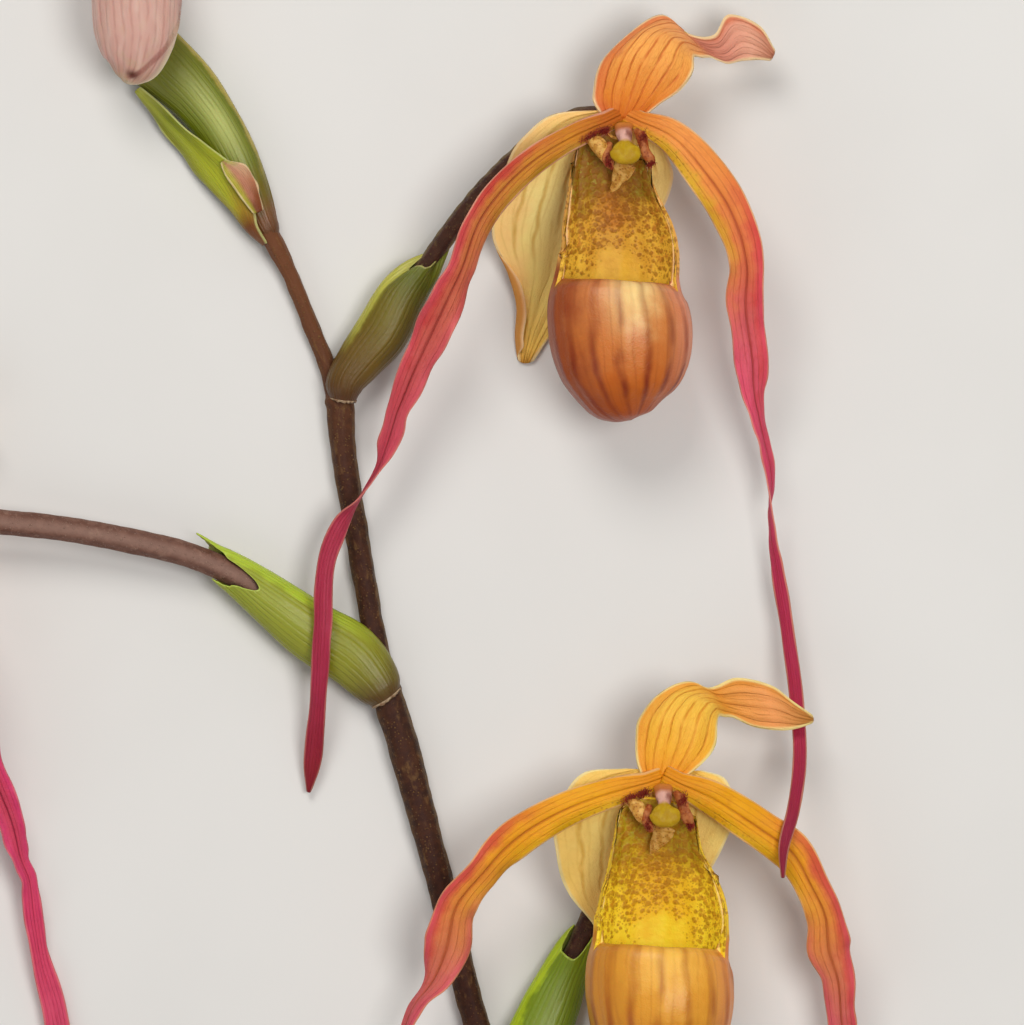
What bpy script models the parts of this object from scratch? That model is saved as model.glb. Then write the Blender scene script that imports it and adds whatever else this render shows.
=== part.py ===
# Phragmipedium orchid: a cut flowering spike lying on its back on a flat surface.
# It has a zigzag stem, bracts, stalked ovaries, three slipper flowers and a nodding bud.
# Lengths below are in millimetres and angles in degrees. The mesh data is in metres.
# X runs to the right and Y towards the bud, seen from above, and Z = 0 is the surface.

import math

import bmesh
import bpy
import numpy as np

MM = 0.001
GAP = 0.3
PETAL_THICKNESS = 0.8
LIP_THICKNESS = 1.1
BRACT_THICKNESS = 0.8

# The middle of the whole spike's box, in the layout's own millimetres.
LAYOUT_CENTRE = np.array([-65.8, -45.7, 0.0])

# Detail of the faceted surfaces.
STEM_STEPS = 40
STEM_SIDES = 12
STALK_STEPS = 18
STALK_SIDES = 8
STRAP_STEPS = 30
STRAP_ACROSS = 4
SEPAL_STEPS = 12
SEPAL_ACROSS = 6
LIP_STEPS = 12
LIP_SIDES = 20
SHEATH_STEPS = 8
SHEATH_SIDES = 14

# Stem rows: x, y, radius. Below the first node it lies on the surface.
STEM = [
    (5.5, -222.6, 3.6),
    (1.9, -189.0, 3.7),
    (-1.0, -162.0, 3.9),
    (-2.9, -149.4, 4.2),
    (-4.6, -138.0, 3.2),
    (-8.9, -122.5, 3.1),
    (-16.1, -94.2, 3.2),
    (-22.8, -69.0, 3.5),
    (-27.4, -52.4, 3.8),
    (-30.5, -42.6, 3.6),
    (-32.6, -33.0, 2.9),
    (-36.2, -12.4, 2.8),
    (-38.9, 3.0, 2.9),
    (-41.0, 17.4, 3.1),
    (-41.8, 27.5, 3.2),
    (-43.6, 33.0, 2.3),
    (-48.0, 43.8, 1.95),
    (-53.3, 57.0, 1.9),
    (-57.0, 64.2, 2.3),
    (-60.0, 70.2, 2.8),
]
STEM_LIFT = 2.5
NODE_Y = 30.0
LIFT_LENGTH = 40.0

# Stalk and ovary rows, from the node to the back of the flower: x, y, z, radius.
# The last rows are added by the flower that each one carries.
OVARY_1 = [
    (-41.5, 28.5, 4.0, 2.0),
    (-35.3, 35.4, 5.0, 2.1),
    (-28.1, 48.6, 5.6, 2.2),
    (-20.2, 60.1, 6.6, 2.2),
    (-12.0, 71.4, 8.6, 2.2),
    (-2.9, 81.7, 11.0, 2.2),
    (7.4, 90.2, 13.6, 2.3),
    (17.0, 95.0, 16.0, 2.4),
]
OVARY_2 = [
    (-2.6, -148.0, 4.4, 2.3),
    (2.0, -138.6, 4.8, 2.4),
    (9.1, -119.4, 4.6, 2.5),
    (16.3, -103.8, 4.7, 2.6),
    (21.1, -93.0, 6.6, 2.6),
    (27.1, -81.0, 11.5, 2.6),
    (32.0, -72.0, 18.5, 2.6),
]
OVARY_3 = [
    (-31.5, -42.0, 4.2, 2.3),
    (-38.9, -35.9, 5.0, 2.6),
    (-50.9, -25.8, 5.2, 2.8),
    (-65.3, -15.6, 6.0, 2.9),
    (-77.3, -10.4, 7.0, 2.9),
    (-91.0, -7.0, 8.0, 2.9),
    (-106.0, -4.2, 9.0, 2.9),
    (-121.9, -2.4, 10.0, 2.9),
    (-137.3, -1.2, 11.5, 2.8),
    (-152.0, -0.5, 14.0, 2.7),
]
BUD_STALK = [
    (-60.8, 71.9, 4.8, 1.5),
    (-68.9, 87.0, 4.4, 1.9),
    (-80.6, 103.0, 4.5, 2.0),
    (-88.6, 116.0, 4.5, 1.9),
    (-91.0, 133.0, 4.6, 2.1),
    (-90.8, 148.0, 7.0, 2.1),
    (-90.6, 153.0, 12.0, 2.1),
    (-90.1, 150.4, 16.6, 2.1),
]
BUD = [
    (-90.0, 148.2, 17.2, 2.4, 2.4),
    (-90.0, 144.5, 17.4, 6.2, 5.6),
    (-90.0, 134.0, 17.6, 9.9, 8.4),
    (-90.2, 120.8, 17.4, 10.5, 8.6),
    (-90.3, 112.5, 16.8, 9.3, 7.8),
    (-90.8, 107.8, 16.2, 7.2, 6.2),
    (-91.8, 104.6, 15.6, 4.0, 3.8),
    (-92.4, 103.1, 15.3, 1.0, 1.0),
]

# Sheath rows: x, y, z, half width in the view, half depth.
BRACT_1 = [
    (-40.9, 26.8, 4.7, 3.9, 3.8),
    (-40.1, 31.4, 5.2, 4.6, 4.2),
    (-36.8, 36.5, 5.3, 5.5, 4.5),
    (-31.2, 43.6, 5.5, 6.4, 4.8),
    (-26.4, 52.6, 6.0, 5.9, 4.6),
    (-20.2, 60.2, 6.8, 4.1, 3.7),
    (-14.0, 65.4, 7.6, 1.8, 2.8),
]
BRACT_2 = [
    (-29.9, -45.2, 4.4, 4.5, 4.2),
    (-33.2, -40.4, 4.8, 6.2, 4.6),
    (-38.4, -34.8, 5.0, 7.4, 4.8),
    (-47.0, -29.2, 5.2, 7.3, 4.8),
    (-56.2, -22.6, 5.8, 6.2, 4.6),
    (-65.3, -15.8, 6.2, 5.0, 4.4),
    (-71.6, -11.8, 6.8, 4.2, 4.1),
    (-76.6, -5.2, 7.4, 1.4, 2.4),
]
BRACT_3 = [
    (-2.4, -152.2, 4.7, 4.9, 4.6),
    (-1.0, -146.0, 4.9, 5.8, 4.8),
    (2.6, -135.5, 5.0, 7.2, 4.9),
    (8.4, -121.0, 4.8, 7.0, 4.7),
    (13.8, -109.0, 4.6, 5.6, 4.4),
    (18.4, -99.8, 5.2, 4.5, 4.1),
    (24.8, -93.6, 5.4, 2.2, 2.8),
]
TOP_BRACT = [
    (-59.6, 69.6, 4.9, 3.3, 3.2),
    (-61.7, 74.6, 5.0, 4.2, 3.7),
    (-65.5, 83.0, 5.0, 5.2, 4.1),
    (-70.5, 92.5, 5.0, 5.9, 4.3),
    (-76.5, 100.5, 4.9, 6.8, 4.3),
    (-82.5, 106.6, 4.8, 7.6, 4.1),
    (-87.0, 111.0, 4.7, 8.0, 3.9),
    (-90.8, 115.4, 4.6, 7.8, 3.8),
]
# How far each sheath reaches along its rows, by the angle round it from the right margin.
REACH_1 = [(0, 1.0), (45, 0.88), (90, 0.80), (140, 0.74), (180, 0.86), (230, 0.90), (290, 0.95)]
REACH_2 = [(0, 1.0), (40, 0.84), (85, 0.66), (130, 0.76), (175, 0.83), (230, 0.80), (300, 0.92)]
REACH_3 = [(0, 1.0), (45, 0.84), (90, 0.73), (135, 0.74), (180, 0.84), (230, 0.83), (300, 0.92)]
REACH_TOP = [(0, 1.0), (60, 0.96), (120, 0.95), (180, 1.0), (240, 0.95), (300, 0.97)]

# Blades by three rails, each row holding the middle, the left and the right.
SIDE_BRACT = [
    ((-63.3, 67.9, 6.8), (-63.6, 67.8, 3.9), (-61.2, 68.9, 9.0)),
    ((-66.6, 73.0, 7.4), (-67.5, 72.6, 3.6), (-62.4, 74.4, 9.5)),
    ((-71.4, 80.6, 7.4), (-74.0, 79.0, 2.6), (-66.2, 82.6, 9.9)),
    ((-76.8, 87.6, 6.8), (-79.3, 86.0, 2.6), (-74.0, 88.8, 9.2)),
    ((-83.2, 94.2, 6.2), (-85.2, 93.8, 3.0), (-81.2, 94.8, 8.2)),
    ((-87.4, 99.0, 5.8), (-88.6, 98.4, 3.4), (-86.2, 99.8, 7.6)),
    ((-90.2, 101.8, 5.6), (-90.8, 101.3, 4.4), (-89.4, 102.4, 6.8)),
]
SMALL_BRACT = [
    ((-61.0, 72.4, 10.4), (-62.3, 72.0, 10.5), (-59.9, 72.9, 9.8)),
    ((-62.6, 76.0, 10.9), (-64.8, 75.2, 11.0), (-60.8, 76.9, 10.2)),
    ((-64.4, 79.6, 11.2), (-67.2, 78.6, 11.1), (-62.0, 80.4, 10.5)),
    ((-66.6, 82.4, 11.2), (-69.2, 81.6, 11.0), (-64.4, 83.6, 10.6)),
    ((-69.4, 84.4, 10.9), (-70.0, 84.0, 10.9), (-68.9, 84.8, 10.8)),
]

# Petal rows in a flower: x, y, z from its centre, width, roll.
LEFT_PETAL_1 = [
    (-3.8, 0.6, 0.6, 3.6, 0),
    (-10.3, -2.2, 2.6, 5.3, 0),
    (-22.1, -9.4, 4.6, 6.6, 0),
    (-34.8, -24.2, 4.0, 6.9, 10),
    (-38.6, -34.8, 2.6, 6.6, 25),
    (-43.4, -44.9, 0.2, 8.7, 5),
    (-50.4, -59.8, -4.4, 7.4, -10),
    (-54.0, -68.6, -7.0, 6.4, -25),
    (-58.4, -81.6, -10.6, 5.0, -62),
    (-62.9, -89.0, -11.8, 4.4, -92),
    (-66.4, -93.8, -12.0, 4.4, -140),
    (-70.8, -103.4, -11.4, 4.2, -180),
    (-72.2, -121.2, -10.6, 4.3, -185),
    (-73.4, -139.7, -15.0, 3.9, -180),
    (-74.9, -154.8, -20.4, 3.6, -180),
    (-75.6, -160.3, -21.8, 1.0, -180),
]
RIGHT_PETAL_1 = [
    (4.0, 0.6, 0.6, 3.8, 0),
    (10.8, -2.4, 3.0, 7.2, 0),
    (19.9, -12.0, 5.0, 9.9, 0),
    (26.4, -22.3, 4.6, 9.4, 5),
    (29.5, -33.6, 3.0, 8.2, -12),
    (29.4, -43.9, 0.0, 8.6, 5),
    (31.0, -55.7, -4.6, 8.0, 0),
    (31.9, -66.5, -8.6, 6.0, 35),
    (34.3, -77.0, -11.6, 4.4, 58),
    (35.9, -87.6, -13.6, 3.8, 62),
    (35.6, -91.7, -14.2, 3.6, 92),
    (37.0, -104.4, -15.4, 3.4, 140),
    (39.6, -121.2, -14.8, 3.2, 170),
    (41.8, -138.0, -11.6, 3.2, 180),
    (42.5, -150.7, -7.4, 3.1, 180),
    (40.6, -164.9, 1.8, 3.0, 180),
    (38.4, -173.5, 4.2, 2.4, 180),
    (38.2, -180.2, 5.2, 0.9, 180),
]
LEFT_PETAL_2 = [
    (-3.8, 0.6, 0.6, 3.8, 0),
    (-12.5, -1.7, 1.6, 6.7, 0),
    (-25.0, -6.5, 1.8, 8.4, 0),
    (-36.2, -13.7, 0.4, 9.1, 5),
    (-43.0, -21.1, -1.6, 8.4, 15),
    (-49.2, -28.8, -4.0, 8.8, 5),
    (-51.8, -39.4, -7.4, 10.6, 0),
    (-54.5, -46.0, -9.8, 8.6, -30),
    (-59.5, -53.3, -12.2, 5.6, -60),
    (-63.6, -66.0, -15.6, 5.0, -62),
    (-67.0, -79.0, -18.6, 4.6, -90),
    (-70.0, -92.0, -21.6, 4.4, -150),
    (-73.0, -112.0, -25.6, 4.2, -180),
    (-75.0, -136.0, -27.8, 4.0, -180),
    (-77.0, -160.0, -28.6, 3.8, -180),
    (-78.6, -177.0, -28.8, 1.0, -180),
]
RIGHT_PETAL_2 = [
    (4.0, 0.6, 0.6, 3.8, 0),
    (12.0, -3.0, -0.6, 7.8, 0),
    (18.7, -7.2, -2.4, 9.0, 0),
    (24.7, -11.3, -4.2, 9.2, 0),
    (30.7, -15.6, -5.6, 9.8, 0),
    (35.5, -23.8, -7.0, 8.0, -10),
    (39.1, -31.4, -8.6, 8.8, 5),
    (40.1, -39.8, -10.6, 10.2, 5),
    (42.2, -47.0, -12.8, 8.0, -15),
    (43.2, -56.9, -15.6, 7.0, 10),
    (45.4, -71.0, -19.6, 5.6, 45),
    (48.0, -84.0, -23.0, 4.4, 90),
    (50.0, -100.0, -25.8, 3.8, 150),
    (52.2, -122.0, -27.8, 3.6, 180),
    (53.6, -146.0, -28.6, 3.4, 180),
    (53.0, -166.0, -28.8, 3.0, 180),
    (51.4, -181.0, -28.9, 0.9, 180),
]
LEFT_PETAL_3 = [
    (-3.8, 0.6, 0.6, 3.8, 0),
    (-11.0, -2.6, 2.6, 6.4, 0),
    (-20.5, -9.0, 4.0, 8.6, 0),
    (-30.0, -20.0, 3.6, 8.8, 5),
    (-35.0, -34.0, 1.0, 8.0, -5),
    (-37.6, -48.0, -3.4, 8.4, 0),
    (-41.6, -62.0, -8.4, 7.0, 0),
    (-46.0, -76.0, -12.8, 5.0, -50),
    (-49.0, -90.0, -16.6, 4.4, -100),
    (-53.6, -106.0, -20.0, 4.2, -165),
    (-57.0, -128.0, -22.2, 4.0, -180),
    (-58.6, -150.0, -22.8, 3.6, -180),
    (-58.0, -168.0, -23.0, 1.0, -180),
]
RIGHT_PETAL_3 = [
    (4.0, 0.6, 0.6, 3.8, 0),
    (11.0, -2.6, 2.6, 7.0, 0),
    (20.6, -11.4, 4.0, 9.4, 0),
    (28.2, -23.0, 3.4, 9.2, 5),
    (31.6, -36.0, 1.2, 8.4, -5),
    (33.8, -50.0, -3.4, 7.8, 0),
    (36.4, -62.0, -8.0, 6.6, 0),
    (42.6, -79.0, -14.0, 6.0, 10),
    (44.4, -86.9, -16.4, 5.0, 40),
    (46.1, -91.2, -17.4, 4.4, 30),
    (47.2, -100.0, -19.0, 4.4, 10),
    (49.0, -111.1, -20.4, 4.6, 20),
    (52.1, -122.4, -21.6, 5.8, 0),
    (54.2, -134.0, -22.4, 5.4, -10),
    (56.0, -150.0, -22.8, 3.8, 0),
    (56.6, -166.0, -22.9, 2.8, 0),
    (56.0, -177.0, -23.0, 0.9, 0),
]

# Sepal rows in a flower: middle, left and right points from its centre.
DORSAL_1 = [
    ((0.0, 1.7, -1.0), (-4.6, 1.4, -1.0), (4.6, 1.4, -1.0)),
    ((1.0, 4.4, -0.7), (-6.6, 4.4, -1.1), (7.9, 4.2, -1.1)),
    ((3.2, 10.6, 0.0), (-6.9, 9.0, -2.6), (13.9, 8.4, -2.4)),
    ((6.4, 16.6, 0.0), (-4.6, 16.4, -3.6), (16.6, 13.0, -3.6)),
    ((9.8, 21.4, -1.8), (1.8, 22.4, -4.6), (17.4, 16.4, -5.0)),
    ((13.6, 21.8, -5.0), (8.9, 26.4, -5.6), (19.2, 16.2, -6.8)),
    ((18.6, 19.0, -8.0), (16.2, 21.6, -6.4), (22.0, 15.8, -9.4)),
    ((23.6, 18.0, -9.8), (21.8, 21.6, -8.2), (25.4, 14.9, -10.6)),
    ((28.2, 21.4, -10.4), (25.6, 26.6, -9.8), (29.0, 15.6, -11.6)),
    ((33.0, 19.8, -11.0), (33.0, 23.8, -10.6), (32.4, 15.8, -12.0)),
    ((36.2, 17.0, -11.8), (36.6, 18.2, -11.6), (35.4, 15.6, -12.2)),
]
DORSAL_2 = [
    ((0.0, 1.7, -1.0), (-4.6, 1.4, -1.0), (4.6, 1.4, -1.0)),
    ((0.8, 5.0, -0.8), (-6.0, 5.2, -1.2), (8.4, 4.4, -1.2)),
    ((2.8, 11.0, -0.6), (-6.5, 12.4, -3.4), (12.6, 9.4, -3.4)),
    ((4.8, 16.8, -1.4), (-5.4, 16.8, -4.4), (13.3, 14.6, -4.8)),
    ((7.4, 20.6, -4.0), (-1.6, 21.4, -5.6), (13.8, 16.6, -7.0)),
    ((11.6, 21.4, -8.0), (6.0, 24.8, -7.0), (15.0, 16.4, -10.0)),
    ((14.4, 20.4, -10.6), (11.0, 23.4, -8.8), (17.0, 16.2, -12.0)),
    ((20.6, 19.8, -12.2), (17.8, 25.8, -10.4), (22.0, 14.0, -12.9)),
    ((27.4, 18.8, -12.2), (26.4, 23.8, -11.4), (28.6, 13.2, -12.6)),
    ((32.8, 16.6, -12.2), (31.8, 19.8, -11.8), (33.0, 13.8, -12.4)),
    ((36.2, 15.8, -12.2), (36.0, 16.9, -12.0), (36.0, 14.8, -12.3)),
]
SYNSEPAL_1 = [
    ((-0.4, 3.0, -2.0), (-5.0, 3.5, -2.2), (4.6, 2.6, -2.4)),
    ((-2.4, -0.6, -2.4), (-15.2, 2.9, -3.4), (7.6, -0.6, -3.6)),
    ((-5.4, -6.2, -5.2), (-23.8, -2.8, -5.2), (10.2, -6.6, -5.2)),
    ((-8.0, -15.0, -11.8), (-29.0, -13.0, -9.8), (12.0, -13.0, -9.6)),
    ((-11.0, -25.0, -17.4), (-31.4, -26.0, -15.0), (8.0, -23.0, -16.6)),
    ((-14.4, -35.0, -20.9), (-27.6, -35.4, -19.4), (0.0, -34.6, -20.8)),
    ((-19.0, -44.6, -22.7), (-25.6, -44.0, -21.8), (-11.4, -44.0, -22.7)),
    ((-21.8, -51.8, -23.4), (-25.8, -51.4, -23.2), (-17.8, -51.0, -23.4)),
    ((-23.4, -56.8, -23.5), (-25.2, -56.2, -23.5), (-21.4, -56.4, -23.5)),
]
SYNSEPAL_2 = [
    ((0.0, 3.6, -2.3), (-8.6, 4.1, -2.6), (9.6, 3.6, -2.6)),
    ((-1.0, -0.6, -2.4), (-18.0, 3.4, -3.4), (14.6, 1.9, -3.6)),
    ((-2.6, -6.2, -5.2), (-24.6, -4.6, -4.6), (17.2, -5.4, -4.6)),
    ((-4.0, -15.0, -11.8), (-25.4, -16.2, -9.4), (14.6, -14.6, -9.6)),
    ((-6.4, -25.0, -17.2), (-22.4, -26.0, -14.6), (9.0, -24.4, -16.2)),
    ((-7.6, -35.0, -20.6), (-15.6, -35.0, -19.2), (2.0, -34.6, -20.0)),
    ((-8.6, -44.0, -22.2), (-12.6, -44.0, -21.8), (-3.6, -43.6, -22.0)),
    ((-9.0, -50.0, -22.6), (-10.4, -49.8, -22.5), (-7.6, -49.8, -22.5)),
]

# Lip rows in a flower, from the toe to the throat: x, y, z from its centre, half width, half depth.
LIP_1 = [
    (1.9, -70.9, -1.4, 0.0, 0.0),
    (1.6, -69.8, -1.4, 5.6, 5.0),
    (0.8, -66.2, -1.4, 10.4, 9.4),
    (0.2, -60.4, -1.4, 14.9, 13.6),
    (-0.5, -51.0, -1.4, 17.1, 15.8),
    (-1.5, -43.0, -1.9, 16.5, 15.2),
    (-1.3, -37.0, -2.6, 14.9, 13.4),
    (-0.8, -30.0, -2.8, 14.4, 11.4),
    (-2.0, -23.0, -2.4, 13.1, 8.6),
    (-2.8, -17.0, -1.6, 11.2, 6.0),
    (-3.2, -11.0, -0.8, 9.9, 4.0),
    (-3.0, -6.4, -0.2, 8.6, 2.8),
    (-1.6, -3.6, 0.0, 4.4, 1.8),
]
LIP_2 = [
    (-1.0, -73.0, -1.4, 0.0, 0.0),
    (-1.0, -71.8, -1.4, 5.6, 5.0),
    (-0.8, -68.0, -1.4, 10.8, 9.6),
    (-0.6, -61.0, -1.4, 15.4, 13.8),
    (-0.6, -51.0, -1.4, 17.6, 15.8),
    (-0.9, -44.0, -1.9, 17.2, 15.2),
    (-0.5, -38.0, -2.6, 16.2, 13.4),
    (-0.1, -31.0, -2.8, 16.2, 11.4),
    (-0.8, -23.6, -2.4, 14.4, 8.6),
    (-1.4, -17.5, -1.6, 12.0, 6.0),
    (-1.4, -11.6, -0.8, 10.8, 4.0),
    (-1.4, -6.8, -0.2, 9.8, 2.8),
    (-0.8, -3.6, 0.0, 4.6, 1.8),
]
LIP_FRONT_REACH = 0.56
LIP_OPENING_EDGE = 66.0
LIP_RIM_END = 124.0
LIP_EDGE_POWER = 2.4

COLUMN = [
    (0.2, -0.8, 0.3, 1.9, 1.3),
    (0.3, -3.0, 3.0, 1.8, 1.6),
    (0.4, -5.6, 6.0, 2.3, 1.7),
    (0.5, -7.2, 7.6, 3.1, 2.2),
    (0.5, -8.6, 8.2, 3.0, 2.3),
    (0.5, -10.2, 8.2, 1.9, 1.6),
    (0.5, -10.8, 8.2, 0.5, 0.5),
]

# Flowers: place of the centre, with the rows of each organ.
FLOWERS = {
    1: ((26.6, 93.0, 24.0), LEFT_PETAL_1, RIGHT_PETAL_1, DORSAL_1, SYNSEPAL_1, LIP_1, OVARY_1),
    2: ((36.0, -65.4, 30.0), LEFT_PETAL_2, RIGHT_PETAL_2, DORSAL_2, SYNSEPAL_2, LIP_2, OVARY_2),
    3: ((-162.5, 3.0, 24.0), LEFT_PETAL_3, RIGHT_PETAL_3, DORSAL_1, SYNSEPAL_1, LIP_1, OVARY_3),
}
# The ovary ends just behind the flower, in these rows from the flower's centre.
OVARY_NECK = [(-1.4, 1.0, -6.6, 2.6), (-0.2, 0.5, -4.1, 2.2)]

COLOURS = {
    "stem_brown": ((0.105, 0.052, 0.035), 0.55),
    "ovary_brown": ((0.115, 0.048, 0.040), 0.5),
    "bract_green": ((0.235, 0.285, 0.035), 0.45),
    "bud_pink": ((0.520, 0.285, 0.235), 0.5),
    "petal_red": ((0.620, 0.130, 0.120), 0.5),
    "sepal_orange": ((0.800, 0.400, 0.100), 0.5),
    "synsepal_yellow": ((0.780, 0.600, 0.220), 0.5),
    "lip_orange": ((0.600, 0.220, 0.080), 0.35),
    "column_green": ((0.560, 0.560, 0.150), 0.4),
}


def clear_scene():
    for thing in list(bpy.data.objects):
        bpy.data.objects.remove(thing, do_unlink=True)


def material(name):
    """The Principled material of this name, made once."""
    found = bpy.data.materials.get(name)
    if found:
        return found
    colour, roughness = COLOURS[name]
    made = bpy.data.materials.new(name)
    made.use_nodes = True
    shader = made.node_tree.nodes["Principled BSDF"]
    shader.inputs["Base Color"].default_value = (*colour, 1.0)
    shader.inputs["Roughness"].default_value = roughness
    return made


def along(rows, shares, measured):
    """Rows read at shares of the way along a smooth curve through them.

    The way is measured over the first columns, as many as measured says.
    """
    rows = np.array(rows, float)
    steps = np.linalg.norm(np.diff(rows[:, :measured], axis=0), axis=1)
    way = np.concatenate([[0.0], np.cumsum(steps)])
    slopes = np.gradient(rows, way, axis=0)
    wanted = np.clip(np.asarray(shares, float), 0.0, 1.0) * way[-1]
    start = np.clip(np.searchsorted(way, wanted, side="right") - 1, 0, len(way) - 2)
    length = (way[start + 1] - way[start])[..., None]
    u = (wanted - way[start])[..., None] / length
    first = (1 + 2 * u) * (1 - u) ** 2 * rows[start] + u * (1 - u) ** 2 * length * slopes[start]
    second = u * u * (3 - 2 * u) * rows[start + 1] + u * u * (u - 1) * length * slopes[start + 1]
    return first + second


def unit(vectors):
    return vectors / np.linalg.norm(vectors, axis=-1, keepdims=True)


def frames(rows, shares, measured):
    """Rows along the curve, with the level direction across it and the one square to both."""
    shares = np.asarray(shares, float)
    here = along(rows, shares, measured)
    little = 0.004
    ahead = along(rows, shares + little, measured)[..., :3]
    behind = along(rows, shares - little, measured)[..., :3]
    way = unit(ahead - behind)
    across = unit(np.cross(way, [0.0, 0.0, 1.0]))
    return here, across, np.cross(across, way)


def add_object(name, points, faces, colour):
    """A mesh object from layout millimetres, with doubled points merged."""
    mesh = bpy.data.meshes.new(name)
    flat = (np.asarray(points).reshape(-1, 3) - LAYOUT_CENTRE) * MM
    mesh.from_pydata([tuple(p) for p in flat], [], faces)
    shape = bmesh.new()
    shape.from_mesh(mesh)
    bmesh.ops.remove_doubles(shape, verts=shape.verts, dist=1e-7)
    bmesh.ops.recalc_face_normals(shape, faces=shape.faces)
    shape.to_mesh(mesh)
    shape.free()
    mesh.shade_smooth()
    thing = bpy.data.objects.new(name, mesh)
    thing.data.materials.append(material(colour))
    bpy.context.scene.collection.objects.link(thing)
    return thing


def thicken(thing, thickness, side):
    """A wall of this thickness: centred on the mesh at side 0, and inside it at -1."""
    solid = thing.modifiers.new("Thickness", "SOLIDIFY")
    solid.thickness = thickness * MM
    solid.offset = side
    solid.use_rim = True


def grid_triangles(steps, across, closed):
    """Triangles between the points of a grid, which may close round on itself."""
    wide = across if closed else across + 1
    faces = []
    for i in range(steps):
        for j in range(across):
            a = i * wide + j
            b = i * wide + (j + 1) % wide
            faces.append((a, b, b + wide))
            faces.append((a, b + wide, a + wide))
    return faces


def sheet(name, points, colour, thickness):
    """A thin blade from a grid of points on its middle surface."""
    steps, wide = points.shape[0] - 1, points.shape[1] - 1
    blade = add_object(name, points, grid_triangles(steps, wide, False), colour)
    thicken(blade, thickness, 0.0)
    return blade


def strap(name, rows, place, colour, waves):
    """A petal along its rows, with margins that wave a little."""
    shares = np.linspace(0.0, 1.0, STRAP_STEPS + 1)
    here, across, over = frames(rows, shares, 3)
    turn = np.radians(here[:, 4])[:, None]
    side = across * np.cos(turn) + over * np.sin(turn)
    face = over * np.cos(turn) - across * np.sin(turn)
    v = np.linspace(-1.0, 1.0, STRAP_ACROSS + 1)
    half = here[:, 3, None] / 2
    height = waves * np.sin(shares[:, None] * 60.0 + v * 1.3) * v * v * (half / 4.0)
    points = here[:, None, :3] + side[:, None] * (half * v)[..., None]
    points = points + face[:, None] * height[..., None] + np.array(place)
    return sheet(name, points, colour, PETAL_THICKNESS)


def sepal(name, rows, place, colour, thickness):
    """A broad blade through a middle, a left and a right rail."""
    flat = [(*middle, *left, *right) for middle, left, right in rows]
    rails = along(flat, np.linspace(0.0, 1.0, SEPAL_STEPS + 1), 3)
    middle, left, right = rails[:, None, :3], rails[:, None, 3:6], rails[:, None, 6:9]
    v = np.linspace(-1.0, 1.0, SEPAL_ACROSS + 1)[None, :, None]
    points = left * (v * v - v) / 2 + middle * (1 - v * v) + right * (v * v + v) / 2
    return sheet(name, points + np.array(place), colour, thickness)


def ring_points(rows, shares, angles, place):
    """Points of ellipses square to the rows, which hold x, y, z, half width and half depth."""
    here, across, over = frames(rows, shares, 5)
    wide = here[..., 3, None] * np.cos(angles)[..., None]
    deep = here[..., 4, None] * np.sin(angles)[..., None]
    return here[..., :3] + across * wide + over * deep + np.array(place)


def loft(name, rows, place, steps, sides, colour):
    """A solid rod through its rows, with flat ends."""
    rows = [(*row, row[3]) if len(row) == 4 else row for row in rows]
    shares, angles = np.meshgrid(
        np.linspace(0.0, 1.0, steps + 1), np.arange(sides) * 2 * math.pi / sides, indexing="ij"
    )
    points = ring_points(rows, shares, angles, place)
    faces = grid_triangles(steps, sides, True)
    faces.append(tuple(range(sides)))
    faces.append(tuple(steps * sides + j for j in range(sides)))
    return add_object(name, points, faces, colour)


def reach_at(table, angles):
    """The reach at each angle, smoothed round the full turn."""
    turn = np.degrees(angles) % 360.0
    known = np.array([row[0] for row in table] + [table[0][0] + 360.0])
    values = np.array([row[1] for row in table] + [table[0][1]])
    start = np.clip(np.searchsorted(known, turn, side="right") - 1, 0, len(table) - 1)
    u = (turn - known[start]) / (known[start + 1] - known[start])
    u = (1 - np.cos(u * math.pi)) / 2
    return values[start] * (1 - u) + values[start + 1] * u


def sheath(name, rows, table, place, colour):
    """A bract rolled into a tube round its stalk, with a slanting mouth."""
    turns = np.arange(SHEATH_SIDES) * 2 * math.pi / SHEATH_SIDES
    steps, angles = np.meshgrid(np.linspace(0.0, 1.0, SHEATH_STEPS + 1), turns, indexing="ij")
    points = ring_points(rows, steps * reach_at(table, turns)[None, :], angles, place)
    tube = add_object(name, points, grid_triangles(SHEATH_STEPS, SHEATH_SIDES, True), colour)
    thicken(tube, BRACT_THICKNESS, -1.0)
    return tube


def lip_reach(angles):
    """How far the pouch wall reaches: to the front rim, or up the throat at the back."""
    from_back = np.abs((np.degrees(angles) - 270.0 + 180.0) % 360.0 - 180.0)
    u = np.clip((from_back - LIP_OPENING_EDGE) / (LIP_RIM_END - LIP_OPENING_EDGE), 0.0, 1.0)
    return 1.0 + (LIP_FRONT_REACH - 1.0) * (1.0 - (1.0 - u) ** LIP_EDGE_POWER)


def lip(name, rows, place):
    """The slipper-shaped pouch, open at the front above its rim."""
    turns = np.arange(LIP_SIDES) * 2 * math.pi / LIP_SIDES
    steps, angles = np.meshgrid(np.linspace(0.0, 1.0, LIP_STEPS + 1), turns, indexing="ij")
    points = ring_points(rows, steps * lip_reach(turns)[None, :], angles, place)
    pouch = add_object(name, points, grid_triangles(LIP_STEPS, LIP_SIDES, True), "lip_orange")
    thicken(pouch, LIP_THICKNESS, -1.0)
    return pouch


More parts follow.
